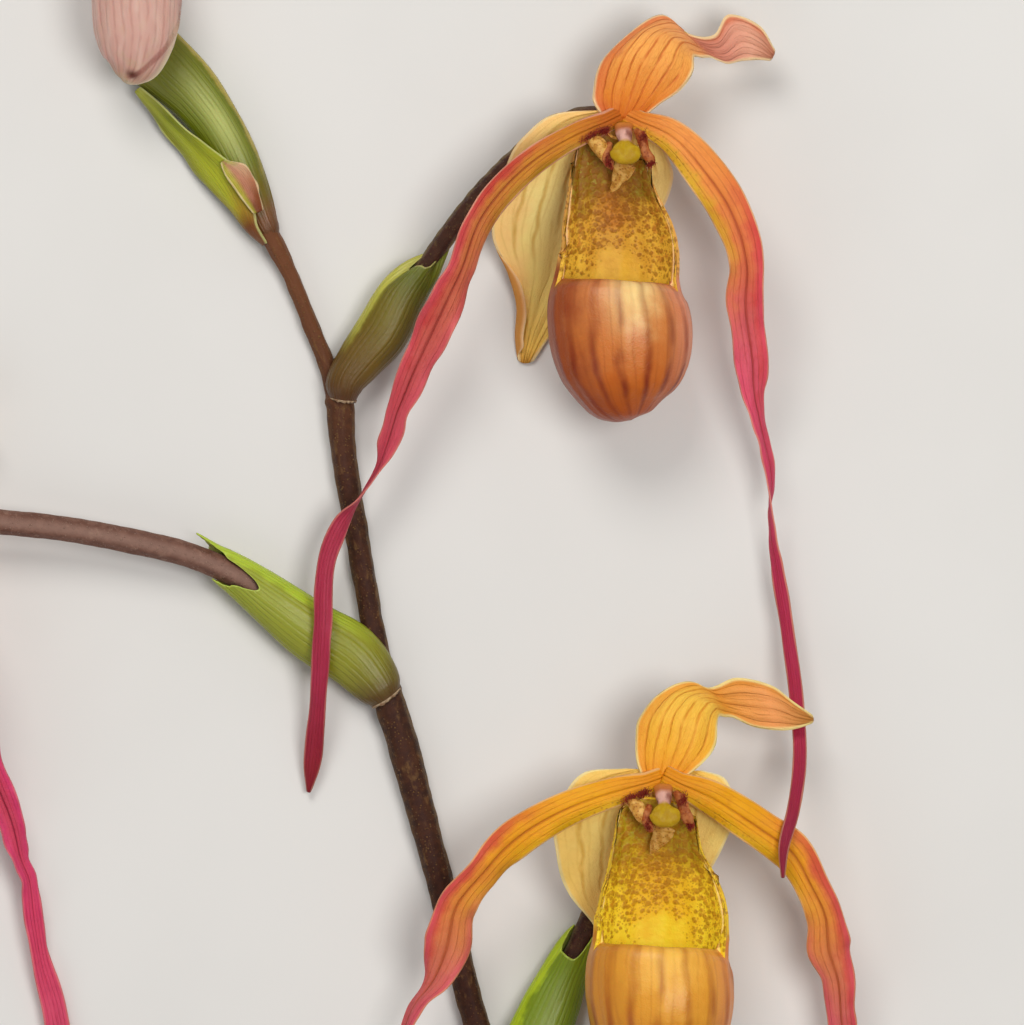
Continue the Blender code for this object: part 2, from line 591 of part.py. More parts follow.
def stem_rows(extra):
    """Stem rows with the height of the centre, so that the underside lies on the surface.

    The extra is added all round and past both ends.
    """
    rows = []
    for x, y, radius in STEM:
        lift = STEM_LIFT * np.clip((y - NODE_Y) / LIFT_LENGTH, 0.0, 1.0)
        rows.append(np.array([x, y, radius + lift, radius + extra]))
    first, last = rows[0] - rows[1], rows[-1] - rows[-2]
    rows[0][:3] += unit(first[:3]) * extra
    rows[-1][:3] += unit(last[:3]) * extra
    return rows


def stem_room():
    """The space that the stem takes, with a gap round it, to trim what sits on it."""
    cutter = loft("stem_room", stem_rows(GAP), (0, 0, 0), STEM_STEPS, STEM_SIDES, "stem_brown")
    cutter.hide_render = True
    cutter.display_type = "WIRE"
    return cutter


def trim(thing, cutter):
    cut = thing.modifiers.new("Trim", "BOOLEAN")
    cut.operation = "DIFFERENCE"
    cut.solver = "EXACT"
    cut.object = cutter


def flower(number, cutter):
    """The organs of one flower, and the ovary that carries it."""
    place, left, right, dorsal, synsepal, pouch, ovary = FLOWERS[number]
    strap(f"petal_left_{number}", left, place, "petal_red", 0.7)
    strap(f"petal_right_{number}", right, place, "petal_red", 0.7)
    sepal(f"dorsal_sepal_{number}", dorsal, place, "sepal_orange", PETAL_THICKNESS)
    sepal(f"synsepal_{number}", synsepal, place, "synsepal_yellow", PETAL_THICKNESS)
    lip(f"lip_{number}", pouch, place)
    loft(f"column_{number}", COLUMN, place, 8, 8, "column_green")
    neck = [(x + place[0], y + place[1], z + place[2], r) for x, y, z, r in OVARY_NECK]
    stalk = loft(f"ovary_{number}", ovary + neck, (0, 0, 0), STALK_STEPS, STALK_SIDES, "ovary_brown")
    trim(stalk, cutter)


def main():
    clear_scene()
    loft("main_stem", stem_rows(0.0), (0, 0, 0), STEM_STEPS, STEM_SIDES, "stem_brown")
    cutter = stem_room()
    for number in FLOWERS:
        flower(number, cutter)
    sheaths = (BRACT_1, REACH_1), (BRACT_2, REACH_2), (BRACT_3, REACH_3)
    for number, (rows, table) in enumerate(sheaths, start=1):
        trim(sheath(f"bract_{number}", rows, table, (0, 0, 0), "bract_green"), cutter)
    trim(sheath("top_bract", TOP_BRACT, REACH_TOP, (0, 0, 0), "bract_green"), cutter)
    sepal("side_bract", SIDE_BRACT, (0, 0, 0), "bract_green", BRACT_THICKNESS)
    sepal("small_bract", SMALL_BRACT, (0, 0, 0), "bract_green", BRACT_THICKNESS)
    stalk = loft("bud_stalk", BUD_STALK, (0, 0, 0), STALK_STEPS, STALK_SIDES, "ovary_brown")
    trim(stalk, cutter)
    loft("bud", BUD, (0, 0, 0), 12, 12, "bud_pink")


main()
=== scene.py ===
# Looks for the cut phragmipedium spike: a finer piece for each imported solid, and its camera and light.
# Lengths in the rows are layout millimetres, as in the solids' own source. Meshes are in metres.

import math

import bmesh
import bpy
import numpy as np
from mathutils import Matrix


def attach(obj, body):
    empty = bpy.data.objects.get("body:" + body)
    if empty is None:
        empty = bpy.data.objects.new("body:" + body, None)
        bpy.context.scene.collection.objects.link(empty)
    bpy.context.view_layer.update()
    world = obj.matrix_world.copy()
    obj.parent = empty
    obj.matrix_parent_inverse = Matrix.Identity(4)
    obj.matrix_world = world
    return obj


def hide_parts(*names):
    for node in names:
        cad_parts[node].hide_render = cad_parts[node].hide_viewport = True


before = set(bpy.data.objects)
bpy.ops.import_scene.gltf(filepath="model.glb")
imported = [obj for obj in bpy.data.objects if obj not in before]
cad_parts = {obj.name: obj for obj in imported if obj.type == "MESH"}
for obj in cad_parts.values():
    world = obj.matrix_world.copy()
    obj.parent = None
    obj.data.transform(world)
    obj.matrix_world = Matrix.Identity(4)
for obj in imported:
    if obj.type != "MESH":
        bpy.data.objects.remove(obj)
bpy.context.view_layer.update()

MM = 0.001

# The middle of the whole spike's box, in the layout's own millimetres.
LAYOUT_CENTRE = np.array([-65.8, -45.7, 0.0])

# Stem rows: x, y, radius. Below the first node it lies on the surface.
STEM = [
    (5.5, -222.6, 3.6), (1.9, -189.0, 3.7), (-1.0, -162.0, 3.9), (-2.9, -149.4, 4.2), (-4.6, -138.0, 3.2),
    (-8.9, -122.5, 3.1), (-16.1, -94.2, 3.2), (-22.8, -69.0, 3.5), (-27.4, -52.4, 3.8),
    (-30.5, -42.6, 3.6), (-32.6, -33.0, 2.9), (-36.2, -12.4, 2.8), (-38.9, 3.0, 2.9), (-41.0, 17.4, 3.1),
    (-41.8, 27.5, 3.2), (-43.6, 33.0, 2.3), (-48.0, 43.8, 1.95), (-53.3, 57.0, 1.9), (-57.0, 64.2, 2.3),
    (-60.0, 70.2, 2.8),
]
STEM_LIFT = 2.5
NODE_Y = 30.0
LIFT_LENGTH = 40.0

# Stalk and ovary rows, from the node to the back of the flower: x, y, z, radius.
# The last rows are added by the flower that each one carries.
OVARY_1 = [
    (-41.5, 28.5, 4.0, 2.0), (-35.3, 35.4, 5.0, 2.1), (-28.1, 48.6, 5.6, 2.2), (-20.2, 60.1, 6.6, 2.2),
    (-12.0, 71.4, 8.6, 2.2), (-2.9, 81.7, 11.0, 2.2), (7.4, 90.2, 13.6, 2.3), (17.0, 95.0, 16.0, 2.4),
]
OVARY_2 = [
    (-2.6, -148.0, 4.4, 2.3), (2.0, -138.6, 4.8, 2.4), (9.1, -119.4, 4.6, 2.5), (16.3, -103.8, 4.7, 2.6),
    (21.1, -93.0, 6.6, 2.6), (27.1, -81.0, 11.5, 2.6), (32.0, -72.0, 18.5, 2.6),
]
OVARY_3 = [
    (-31.5, -42.0, 4.2, 2.3), (-38.9, -35.9, 5.0, 2.6), (-50.9, -25.8, 5.2, 2.8),
    (-65.3, -15.6, 6.0, 2.9), (-77.3, -10.4, 7.0, 2.9), (-91.0, -7.0, 8.0, 2.9), (-106.0, -4.2, 9.0, 2.9),
    (-121.9, -2.4, 10.0, 2.9), (-137.3, -1.2, 11.5, 2.8), (-152.0, -0.5, 14.0, 2.7),
]
BUD_STALK = [
    (-60.8, 71.9, 4.8, 1.5), (-68.9, 87.0, 4.4, 1.9), (-80.6, 103.0, 4.5, 2.0), (-88.6, 116.0, 4.5, 1.9),
    (-91.0, 133.0, 4.6, 2.1), (-90.8, 148.0, 7.0, 2.1), (-90.6, 153.0, 12.0, 2.1),
    (-90.1, 150.4, 16.6, 2.1),
]
BUD = [
    (-90.0, 148.2, 17.2, 2.4, 2.4), (-90.0, 144.5, 17.4, 6.2, 5.6), (-90.0, 134.0, 17.6, 9.9, 8.4),
    (-90.2, 120.8, 17.4, 10.5, 8.6), (-90.3, 112.5, 16.8, 9.3, 7.8), (-90.8, 107.8, 16.2, 7.2, 6.2),
    (-91.8, 104.6, 15.6, 4.0, 3.8), (-92.4, 103.1, 15.3, 1.0, 1.0),
]

# Sheath rows: x, y, z, half width in the view, half depth.
BRACT_1 = [
    (-40.9, 26.8, 4.7, 3.9, 3.8), (-40.1, 31.4, 5.2, 4.6, 4.2), (-36.8, 36.5, 5.3, 5.5, 4.5),
    (-31.2, 43.6, 5.5, 6.4, 4.8), (-26.4, 52.6, 6.0, 5.9, 4.6), (-20.2, 60.2, 6.8, 4.1, 3.7),
    (-14.0, 65.4, 7.6, 1.8, 2.8),
]
BRACT_2 = [
    (-29.9, -45.2, 4.4, 4.5, 4.2), (-33.2, -40.4, 4.8, 6.2, 4.6), (-38.4, -34.8, 5.0, 7.4, 4.8),
    (-47.0, -29.2, 5.2, 7.3, 4.8), (-56.2, -22.6, 5.8, 6.2, 4.6), (-65.3, -15.8, 6.2, 5.0, 4.4),
    (-71.6, -11.8, 6.8, 4.2, 4.1), (-76.6, -5.2, 7.4, 1.4, 2.4),
]
BRACT_3 = [
    (-2.4, -152.2, 4.7, 4.9, 4.6), (-1.0, -146.0, 4.9, 5.8, 4.8), (2.6, -135.5, 5.0, 7.2, 4.9),
    (8.4, -121.0, 4.8, 7.0, 4.7), (13.8, -109.0, 4.6, 5.6, 4.4), (18.4, -99.8, 5.2, 4.5, 4.1),
    (24.8, -93.6, 5.4, 2.2, 2.8),
]
TOP_BRACT = [
    (-59.6, 69.6, 4.9, 3.3, 3.2), (-61.7, 74.6, 5.0, 4.2, 3.7), (-65.5, 83.0, 5.0, 5.2, 4.1),
    (-70.5, 92.5, 5.0, 5.9, 4.3), (-76.5, 100.5, 4.9, 6.8, 4.3), (-82.5, 106.6, 4.8, 7.6, 4.1),
    (-87.0, 111.0, 4.7, 8.0, 3.9), (-90.8, 115.4, 4.6, 7.8, 3.8),
]
# How far each sheath reaches along its rows, by the angle round it from the right margin.
REACH_1 = [(0, 1.0), (45, 0.88), (90, 0.8), (140, 0.74), (180, 0.86), (230, 0.9), (290, 0.95)]
REACH_2 = [(0, 1.0), (40, 0.84), (85, 0.66), (130, 0.76), (175, 0.83), (230, 0.8), (300, 0.92)]
REACH_3 = [(0, 1.0), (45, 0.84), (90, 0.73), (135, 0.74), (180, 0.84), (230, 0.83), (300, 0.92)]
REACH_TOP = [(0, 1.0), (60, 0.96), (120, 0.95), (180, 1.0), (240, 0.95), (300, 0.97)]

# Blades by three rails, each row holding the middle, the left and the right.
SIDE_BRACT = [
    ((-63.3, 67.9, 6.8), (-63.6, 67.8, 3.9), (-61.2, 68.9, 9.0)),
    ((-66.6, 73.0, 7.4), (-67.5, 72.6, 3.6), (-62.4, 74.4, 9.5)),
    ((-71.4, 80.6, 7.4), (-74.0, 79.0, 2.6), (-66.2, 82.6, 9.9)),
    ((-76.8, 87.6, 6.8), (-79.3, 86.0, 2.6), (-74.0, 88.8, 9.2)),
    ((-83.2, 94.2, 6.2), (-85.2, 93.8, 3.0), (-81.2, 94.8, 8.2)),
    ((-87.4, 99.0, 5.8), (-88.6, 98.4, 3.4), (-86.2, 99.8, 7.6)),
    ((-90.2, 101.8, 5.6), (-90.8, 101.3, 4.4), (-89.4, 102.4, 6.8)),
]
SMALL_BRACT = [
    ((-61.0, 72.4, 10.4), (-62.3, 72.0, 10.5), (-59.9, 72.9, 9.8)),
    ((-62.6, 76.0, 10.9), (-64.8, 75.2, 11.0), (-60.8, 76.9, 10.2)),
    ((-64.4, 79.6, 11.2), (-67.2, 78.6, 11.1), (-62.0, 80.4, 10.5)),
    ((-66.6, 82.4, 11.2), (-69.2, 81.6, 11.0), (-64.4, 83.6, 10.6)),
    ((-69.4, 84.4, 10.9), (-70.0, 84.0, 10.9), (-68.9, 84.8, 10.8)),
]

# Petal rows in a flower: x, y, z from its centre, width, roll.
LEFT_PETAL_1 = [
    (-3.8, 0.6, 0.6, 3.6, 0), (-10.3, -2.2, 2.6, 5.3, 0), (-22.1, -9.4, 4.6, 6.6, 0),
    (-34.8, -24.2, 4.0, 6.9, 10), (-38.6, -34.8, 2.6, 6.6, 25), (-43.4, -44.9, 0.2, 8.7, 5),
    (-50.4, -59.8, -4.4, 7.4, -10), (-54.0, -68.6, -7.0, 6.4, -25), (-58.4, -81.6, -10.6, 5.0, -62),
    (-62.9, -89.0, -11.8, 4.4, -92), (-66.4, -93.8, -12.0, 4.4, -140), (-70.8, -103.4, -11.4, 4.2, -180),
    (-72.2, -121.2, -10.6, 4.3, -185), (-73.4, -139.7, -15.0, 3.9, -180),
    (-74.9, -154.8, -20.4, 3.6, -180), (-75.6, -160.3, -21.8, 1.0, -180),
]
RIGHT_PETAL_1 = [
    (4.0, 0.6, 0.6, 3.8, 0), (10.8, -2.4, 3.0, 7.2, 0), (19.9, -12.0, 5.0, 9.9, 0),
    (26.4, -22.3, 4.6, 9.4, 5), (29.5, -33.6, 3.0, 8.2, -12), (29.4, -43.9, 0.0, 8.6, 5),
    (31.0, -55.7, -4.6, 8.0, 0), (31.9, -66.5, -8.6, 6.0, 35), (34.3, -77.0, -11.6, 4.4, 58),
    (35.9, -87.6, -13.6, 3.8, 62), (35.6, -91.7, -14.2, 3.6, 92), (37.0, -104.4, -15.4, 3.4, 140),
    (39.6, -121.2, -14.8, 3.2, 170), (41.8, -138.0, -11.6, 3.2, 180), (42.5, -150.7, -7.4, 3.1, 180),
    (40.6, -164.9, 1.8, 3.0, 180), (38.4, -173.5, 4.2, 2.4, 180), (38.2, -180.2, 5.2, 0.9, 180),
]
LEFT_PETAL_2 = [
    (-3.8, 0.6, 0.6, 3.8, 0), (-12.5, -1.7, 1.6, 6.7, 0), (-25.0, -6.5, 1.8, 8.4, 0),
    (-36.2, -13.7, 0.4, 9.1, 5), (-43.0, -21.1, -1.6, 8.4, 15), (-49.2, -28.8, -4.0, 8.8, 5),
    (-51.8, -39.4, -7.4, 10.6, 0), (-54.5, -46.0, -9.8, 8.6, -30), (-59.5, -53.3, -12.2, 5.6, -60),
    (-63.6, -66.0, -15.6, 5.0, -62), (-67.0, -79.0, -18.6, 4.6, -90), (-70.0, -92.0, -21.6, 4.4, -150),
    (-73.0, -112.0, -25.6, 4.2, -180), (-75.0, -136.0, -27.8, 4.0, -180),
    (-77.0, -160.0, -28.6, 3.8, -180), (-78.6, -177.0, -28.8, 1.0, -180),
]
RIGHT_PETAL_2 = [
    (4.0, 0.6, 0.6, 3.8, 0), (12.0, -3.0, -0.6, 7.8, 0), (18.7, -7.2, -2.4, 9.0, 0),
    (24.7, -11.3, -4.2, 9.2, 0), (30.7, -15.6, -5.6, 9.8, 0), (35.5, -23.8, -7.0, 8.0, -10),
    (39.1, -31.4, -8.6, 8.8, 5), (40.1, -39.8, -10.6, 10.2, 5), (42.2, -47.0, -12.8, 8.0, -15),
    (43.2, -56.9, -15.6, 7.0, 10), (45.4, -71.0, -19.6, 5.6, 45), (48.0, -84.0, -23.0, 4.4, 90),
    (50.0, -100.0, -25.8, 3.8, 150), (52.2, -122.0, -27.8, 3.6, 180), (53.6, -146.0, -28.6, 3.4, 180),
    (53.0, -166.0, -28.8, 3.0, 180), (51.4, -181.0, -28.9, 0.9, 180),
]
LEFT_PETAL_3 = [
    (-3.8, 0.6, 0.6, 3.8, 0), (-11.0, -2.6, 2.6, 6.4, 0), (-20.5, -9.0, 4.0, 8.6, 0),
    (-30.0, -20.0, 3.6, 8.8, 5), (-35.0, -34.0, 1.0, 8.0, -5), (-37.6, -48.0, -3.4, 8.4, 0),
    (-41.6, -62.0, -8.4, 7.0, 0), (-46.0, -76.0, -12.8, 5.0, -50), (-49.0, -90.0, -16.6, 4.4, -100),
    (-53.6, -106.0, -20.0, 4.2, -165), (-57.0, -128.0, -22.2, 4.0, -180),
    (-58.6, -150.0, -22.8, 3.6, -180), (-58.0, -168.0, -23.0, 1.0, -180),
]
RIGHT_PETAL_3 = [
    (4.0, 0.6, 0.6, 3.8, 0), (11.0, -2.6, 2.6, 7.0, 0), (20.6, -11.4, 4.0, 9.4, 0),
    (28.2, -23.0, 3.4, 9.2, 5), (31.6, -36.0, 1.2, 8.4, -5), (33.8, -50.0, -3.4, 7.8, 0),
    (36.4, -62.0, -8.0, 6.6, 0), (42.6, -79.0, -14.0, 6.0, 10), (44.4, -86.9, -16.4, 5.0, 40),
    (46.1, -91.2, -17.4, 4.4, 30), (47.2, -100.0, -19.0, 4.4, 10), (49.0, -111.1, -20.4, 4.6, 20),
    (52.1, -122.4, -21.6, 5.8, 0), (54.2, -134.0, -22.4, 5.4, -10), (56.0, -150.0, -22.8, 3.8, 0),
    (56.6, -166.0, -22.9, 2.8, 0), (56.0, -177.0, -23.0, 0.9, 0),
]

# Sepal rows in a flower: middle, left and right points from its centre.
DORSAL_1 = [
    ((0.0, 1.7, -1.0), (-4.6, 1.4, -1.0), (4.6, 1.4, -1.0)),
    ((1.0, 4.4, -0.7), (-6.6, 4.4, -1.1), (7.9, 4.2, -1.1)),
    ((3.2, 10.6, 0.0), (-6.9, 9.0, -2.6), (13.9, 8.4, -2.4)),
    ((6.4, 16.6, 0.0), (-4.6, 16.4, -3.6), (16.6, 13.0, -3.6)),
    ((9.8, 21.4, -1.8), (1.8, 22.4, -4.6), (17.4, 16.4, -5.0)),
    ((13.6, 21.8, -5.0), (8.9, 26.4, -5.6), (19.2, 16.2, -6.8)),
    ((18.6, 19.0, -8.0), (16.2, 21.6, -6.4), (22.0, 15.8, -9.4)),
    ((23.6, 18.0, -9.8), (21.8, 21.6, -8.2), (25.4, 14.9, -10.6)),
    ((28.2, 21.4, -10.4), (25.6, 26.6, -9.8), (29.0, 15.6, -11.6)),
    ((33.0, 19.8, -11.0), (33.0, 23.8, -10.6), (32.4, 15.8, -12.0)),
    ((36.2, 17.0, -11.8), (36.6, 18.2, -11.6), (35.4, 15.6, -12.2)),
]
DORSAL_2 = [
    ((0.0, 1.7, -1.0), (-4.6, 1.4, -1.0), (4.6, 1.4, -1.0)),
    ((0.8, 5.0, -0.8), (-6.0, 5.2, -1.2), (8.4, 4.4, -1.2)),
    ((2.8, 11.0, -0.6), (-6.5, 12.4, -3.4), (12.6, 9.4, -3.4)),
    ((4.8, 16.8, -1.4), (-5.4, 16.8, -4.4), (13.3, 14.6, -4.8)),
    ((7.4, 20.6, -4.0), (-1.6, 21.4, -5.6), (13.8, 16.6, -7.0)),
    ((11.6, 21.4, -8.0), (6.0, 24.8, -7.0), (15.0, 16.4, -10.0)),
    ((14.4, 20.4, -10.6), (11.0, 23.4, -8.8), (17.0, 16.2, -12.0)),
    ((20.6, 19.8, -12.2), (17.8, 25.8, -10.4), (22.0, 14.0, -12.9)),
    ((27.4, 18.8, -12.2), (26.4, 23.8, -11.4), (28.6, 13.2, -12.6)),
    ((32.8, 16.6, -12.2), (31.8, 19.8, -11.8), (33.0, 13.8, -12.4)),
    ((36.2, 15.8, -12.2), (36.0, 16.9, -12.0), (36.0, 14.8, -12.3)),
]
SYNSEPAL_1 = [
    ((-0.4, 3.0, -2.0), (-5.0, 3.5, -2.2), (4.6, 2.6, -2.4)),
    ((-2.4, -0.6, -2.4), (-15.2, 2.9, -3.4), (7.6, -0.6, -3.6)),
    ((-5.4, -6.2, -5.2), (-23.8, -2.8, -5.2), (10.2, -6.6, -5.2)),
    ((-8.0, -15.0, -11.8), (-29.0, -13.0, -9.8), (12.0, -13.0, -9.6)),
    ((-11.0, -25.0, -17.4), (-31.4, -26.0, -15.0), (8.0, -23.0, -16.6)),
    ((-14.4, -35.0, -20.9), (-27.6, -35.4, -19.4), (0.0, -34.6, -20.8)),
    ((-19.0, -44.6, -22.7), (-25.6, -44.0, -21.8), (-11.4, -44.0, -22.7)),
    ((-21.8, -51.8, -23.4), (-25.8, -51.4, -23.2), (-17.8, -51.0, -23.4)),
    ((-23.4, -56.8, -23.5), (-25.2, -56.2, -23.5), (-21.4, -56.4, -23.5)),
]
SYNSEPAL_2 = [
    ((0.0, 3.6, -2.3), (-8.6, 4.1, -2.6), (9.6, 3.6, -2.6)),
    ((-1.0, -0.6, -2.4), (-18.0, 3.4, -3.4), (14.6, 1.9, -3.6)),
    ((-2.6, -6.2, -5.2), (-24.6, -4.6, -4.6), (17.2, -5.4, -4.6)),
    ((-4.0, -15.0, -11.8), (-25.4, -16.2, -9.4), (14.6, -14.6, -9.6)),
    ((-6.4, -25.0, -17.2), (-22.4, -26.0, -14.6), (9.0, -24.4, -16.2)),
    ((-7.6, -35.0, -20.6), (-15.6, -35.0, -19.2), (2.0, -34.6, -20.0)),
    ((-8.6, -44.0, -22.2), (-12.6, -44.0, -21.8), (-3.6, -43.6, -22.0)),
    ((-9.0, -50.0, -22.6), (-10.4, -49.8, -22.5), (-7.6, -49.8, -22.5)),
]

# Lip rows in a flower, from the toe to the throat: x, y, z from its centre, half width, half depth.
LIP_1 = [
    (1.9, -70.9, -1.4, 0.0, 0.0), (1.6, -69.8, -1.4, 5.6, 5.0), (0.8, -66.2, -1.4, 10.4, 9.4),
    (0.2, -60.4, -1.4, 14.9, 13.6), (-0.5, -51.0, -1.4, 17.1, 15.8), (-1.5, -43.0, -1.9, 16.5, 15.2),
    (-1.3, -37.0, -2.6, 14.9, 13.4), (-0.8, -30.0, -2.8, 14.4, 11.4), (-2.0, -23.0, -2.4, 13.1, 8.6),
    (-2.8, -17.0, -1.6, 11.2, 6.0), (-3.2, -11.0, -0.8, 9.9, 4.0), (-3.0, -6.4, -0.2, 8.6, 2.8),
    (-1.6, -3.6, 0.0, 4.4, 1.8),
]
LIP_2 = [
    (-1.0, -73.0, -1.4, 0.0, 0.0), (-1.0, -71.8, -1.4, 5.6, 5.0), (-0.8, -68.0, -1.4, 10.8, 9.6),
    (-0.6, -61.0, -1.4, 15.4, 13.8), (-0.6, -51.0, -1.4, 17.6, 15.8), (-0.9, -44.0, -1.9, 17.2, 15.2),
    (-0.5, -38.0, -2.6, 16.2, 13.4), (-0.1, -31.0, -2.8, 16.2, 11.4), (-0.8, -23.6, -2.4, 14.4, 8.6),
    (-1.4, -17.5, -1.6, 12.0, 6.0), (-1.4, -11.6, -0.8, 10.8, 4.0), (-1.4, -6.8, -0.2, 9.8, 2.8),
    (-0.8, -3.6, 0.0, 4.6, 1.8),
]
LIP_FRONT_REACH = 0.545
LIP_OPENING_EDGE = 66.0
LIP_RIM_END = 112.0
LIP_EDGE_POWER = 2.4

# Flowers: place of the centre, with the rows of each organ.
FLOWERS = {
    1: ((26.6, 93.0, 24.0), LEFT_PETAL_1, RIGHT_PETAL_1, DORSAL_1, SYNSEPAL_1, LIP_1, OVARY_1),
    2: ((36.0, -65.4, 30.0), LEFT_PETAL_2, RIGHT_PETAL_2, DORSAL_2, SYNSEPAL_2, LIP_2, OVARY_2),
    3: ((-162.5, 3.0, 24.0), LEFT_PETAL_3, RIGHT_PETAL_3, DORSAL_1, SYNSEPAL_1, LIP_1, OVARY_3),
}
# The ovary ends just behind the flower, in these rows from the flower's centre.
OVARY_NECK = [(-1.4, 1.0, -6.6, 2.6), (-0.2, 0.5, -4.1, 2.2)]

# The column with its broad shield, as fine rows: x, y, z, half width, half depth.
FINE_COLUMN = [
    (0.2, -0.4, 0.3, 2.3, 1.3), (0.3, -2.4, 2.6, 2.0, 1.6), (0.4, -4.8, 6.2, 1.6, 1.3),
    (0.4, -5.7, 7.3, 2.9, 1.2), (0.5, -6.6, 7.9, 3.6, 1.2), (0.5, -7.9, 8.0, 3.5, 1.2),
    (0.5, -8.9, 7.8, 2.8, 1.1), (0.5, -9.4, 7.5, 1.8, 0.8),
]
# Fleshy folds beside the shield, each with its kind: 1 is tan and speckled, 2 red-brown.
FOLDS = [
    ([(-8.6, -3.4, 2.6, 0.9, 0.7), (-6.9, -4.2, 4.2, 1.5, 1.2), (-5.6, -5.8, 4.9, 1.9, 1.3),
      (-4.9, -7.6, 4.9, 1.4, 1.1), (-4.6, -9.0, 4.5, 0.4, 0.4)], 1),
    ([(3.0, -1.4, 3.2, 0.7, 0.6), (4.4, -3.2, 4.6, 1.3, 0.9), (4.9, -5.2, 5.2, 1.2, 1.0),
      (5.9, -7.6, 4.9, 1.3, 1.0), (7.4, -9.6, 4.2, 0.4, 0.4)], 2),
    ([(-3.2, -4.6, 4.2, 0.7, 0.7), (-3.7, -6.8, 5.4, 1.2, 1.0), (-3.5, -9.0, 5.6, 1.2, 1.0),
      (-2.6, -10.8, 5.0, 0.5, 0.5)], 2),
    ([(0.6, -9.6, 4.6, 2.6, 0.5), (-0.4, -12.0, 2.4, 2.3, 0.5), (-1.8, -14.4, 0.6, 1.2, 0.5),
      (-2.8, -16.2, -0.6, 0.3, 0.3)], 1),
]
# Tufts of hair in a flower: x, y, z from its centre, length and breadth of the patch, and its turn.
TUFTS = [
    (-7.4, -2.6, 4.0, 3.2, 0.9, 28), (-4.2, -1.4, 3.6, 1.6, 0.9, 20), (4.8, -3.4, 5.4, 0.9, 2.2, -15),
    (6.8, -9.2, 4.6, 1.0, 1.0, 0), (-3.4, -8.8, 6.2, 0.8, 1.6, 10),
]
# Rows that carry the top bracts' feet down to the stem.
TOP_FOOT = (-57.4, 65.2, 4.5, 2.5, 2.5)
SIDE_FOOT = ((-59.9, 64.6, 5.6), (-59.8, 64.5, 4.4), (-59.0, 65.0, 6.8))
# The bud's lapped margin: its turn near the tip, and how fast it turns on towards the stalk.
BUD_SEAM_TURN = 1.6
BUD_SEAM_SLANT = 5.0

# Detail of the fine surfaces: steps along them and steps across or round them.
STEM_GRID = (420, 40)
STALK_GRID = (170, 32)
PETAL_GRID = (230, 16)
SEPAL_GRID = (80, 56)
LIP_GRID = (96, 150)
SHEATH_GRID = (72, 96)
BUD_GRID = (80, 96)
COLUMN_GRID = (60, 48)
FOLD_GRID = (26, 22)
FOOT_STEPS = 6
CURL_COLUMNS = 14
# How far the rounded edge of a blade and of a tube's wall stands out, in thicknesses.
BLADE_EDGE = 0.45
WALL_EDGE = 0.4
# A petal's foot reaches this far behind its first row.
PETAL_FOOT = 3.8
# The margin's map has this value where no margin is near.
NO_MARGIN = 5.0
# Knots of the ragged scar below a sheath.
SCAR_KNOTS = 47
# Hairs in a tuft, their radius, and the turns of a hair's three sides.
TUFT_HAIRS = 170
HAIR_RADIUS = 0.08
HAIR_SIDES = (0.0, 2.094, 4.189)

# Places of the nodes along the stem, by their Y.
NODES = (27.6, -43.4, -149.6)


def unit(vectors):
    return vectors / np.maximum(np.linalg.norm(vectors, axis=-1, keepdims=True), 1e-9)


def along(rows, shares, measured):
    """Rows read at shares of the way along a smooth curve through them."""
    rows = np.array(rows, float)
    steps = np.linalg.norm(np.diff(rows[:, :measured], axis=0), axis=1)
    way = np.concatenate([[0.0], np.cumsum(steps)])
    slopes = np.gradient(rows, way, axis=0)
    wanted = np.clip(np.asarray(shares, float), 0.0, 1.0) * way[-1]
    start = np.clip(np.searchsorted(way, wanted, side="right") - 1, 0, len(way) - 2)
    length = (way[start + 1] - way[start])[..., None]
    u = (wanted - way[start])[..., None] / length
    first = (1 + 2 * u) * (1 - u) ** 2 * rows[start] + u * (1 - u) ** 2 * length * slopes[start]
    second = u * u * (3 - 2 * u) * rows[start + 1] + u * u * (u - 1) * length * slopes[start + 1]
    return first + second


def length_of(rows, measured):
    rows = np.array(rows, float)
    return float(np.linalg.norm(np.diff(rows[:, :measured], axis=0), axis=1).sum())


def frames(rows, shares, measured):
    """Rows along the curve, with the level direction across it and the one square to both."""
    shares = np.asarray(shares, float)
    here = along(rows, shares, measured)
    little = 0.004
    ahead = along(rows, shares + little, measured)[..., :3]
    behind = along(rows, shares - little, measured)[..., :3]
    way = unit(ahead - behind)
    across = unit(np.cross(way, [0.0, 0.0, 1.0]))
    return here, across, np.cross(across, way)


def ring_points(rows, shares, angles, place):
    """Points of ellipses square to the rows, which hold x, y, z, half width and half depth."""
    here, across, over = frames(rows, shares, 5)
    wide = here[..., 3, None] * np.cos(angles)[..., None]
    deep = here[..., 4, None] * np.sin(angles)[..., None]
    return here[..., :3] + across * wide + over * deep + np.array(place)


def reach_at(table, angles):
    """The reach at each angle, smoothed round the full turn."""
    turn = np.degrees(angles) % 360.0
    known = np.array([row[0] for row in table] + [table[0][0] + 360.0])
    values = np.array([row[1] for row in table] + [table[0][1]])
    start = np.clip(np.searchsorted(known, turn, side="right") - 1, 0, len(table) - 1)
    u = (turn - known[start]) / (known[start + 1] - known[start])
    u = (1 - np.cos(u * math.pi)) / 2
    return values[start] * (1 - u) + values[start + 1] * u


def front_share(angles):
    """0 at the back of the pouch and 1 at its front rim."""
    from_back = np.abs((np.degrees(angles) - 270.0 + 180.0) % 360.0 - 180.0)
    u = np.clip((from_back - LIP_OPENING_EDGE) / (LIP_RIM_END - LIP_OPENING_EDGE), 0.0, 1.0)
    return 1.0 - (1.0 - u) ** LIP_EDGE_POWER


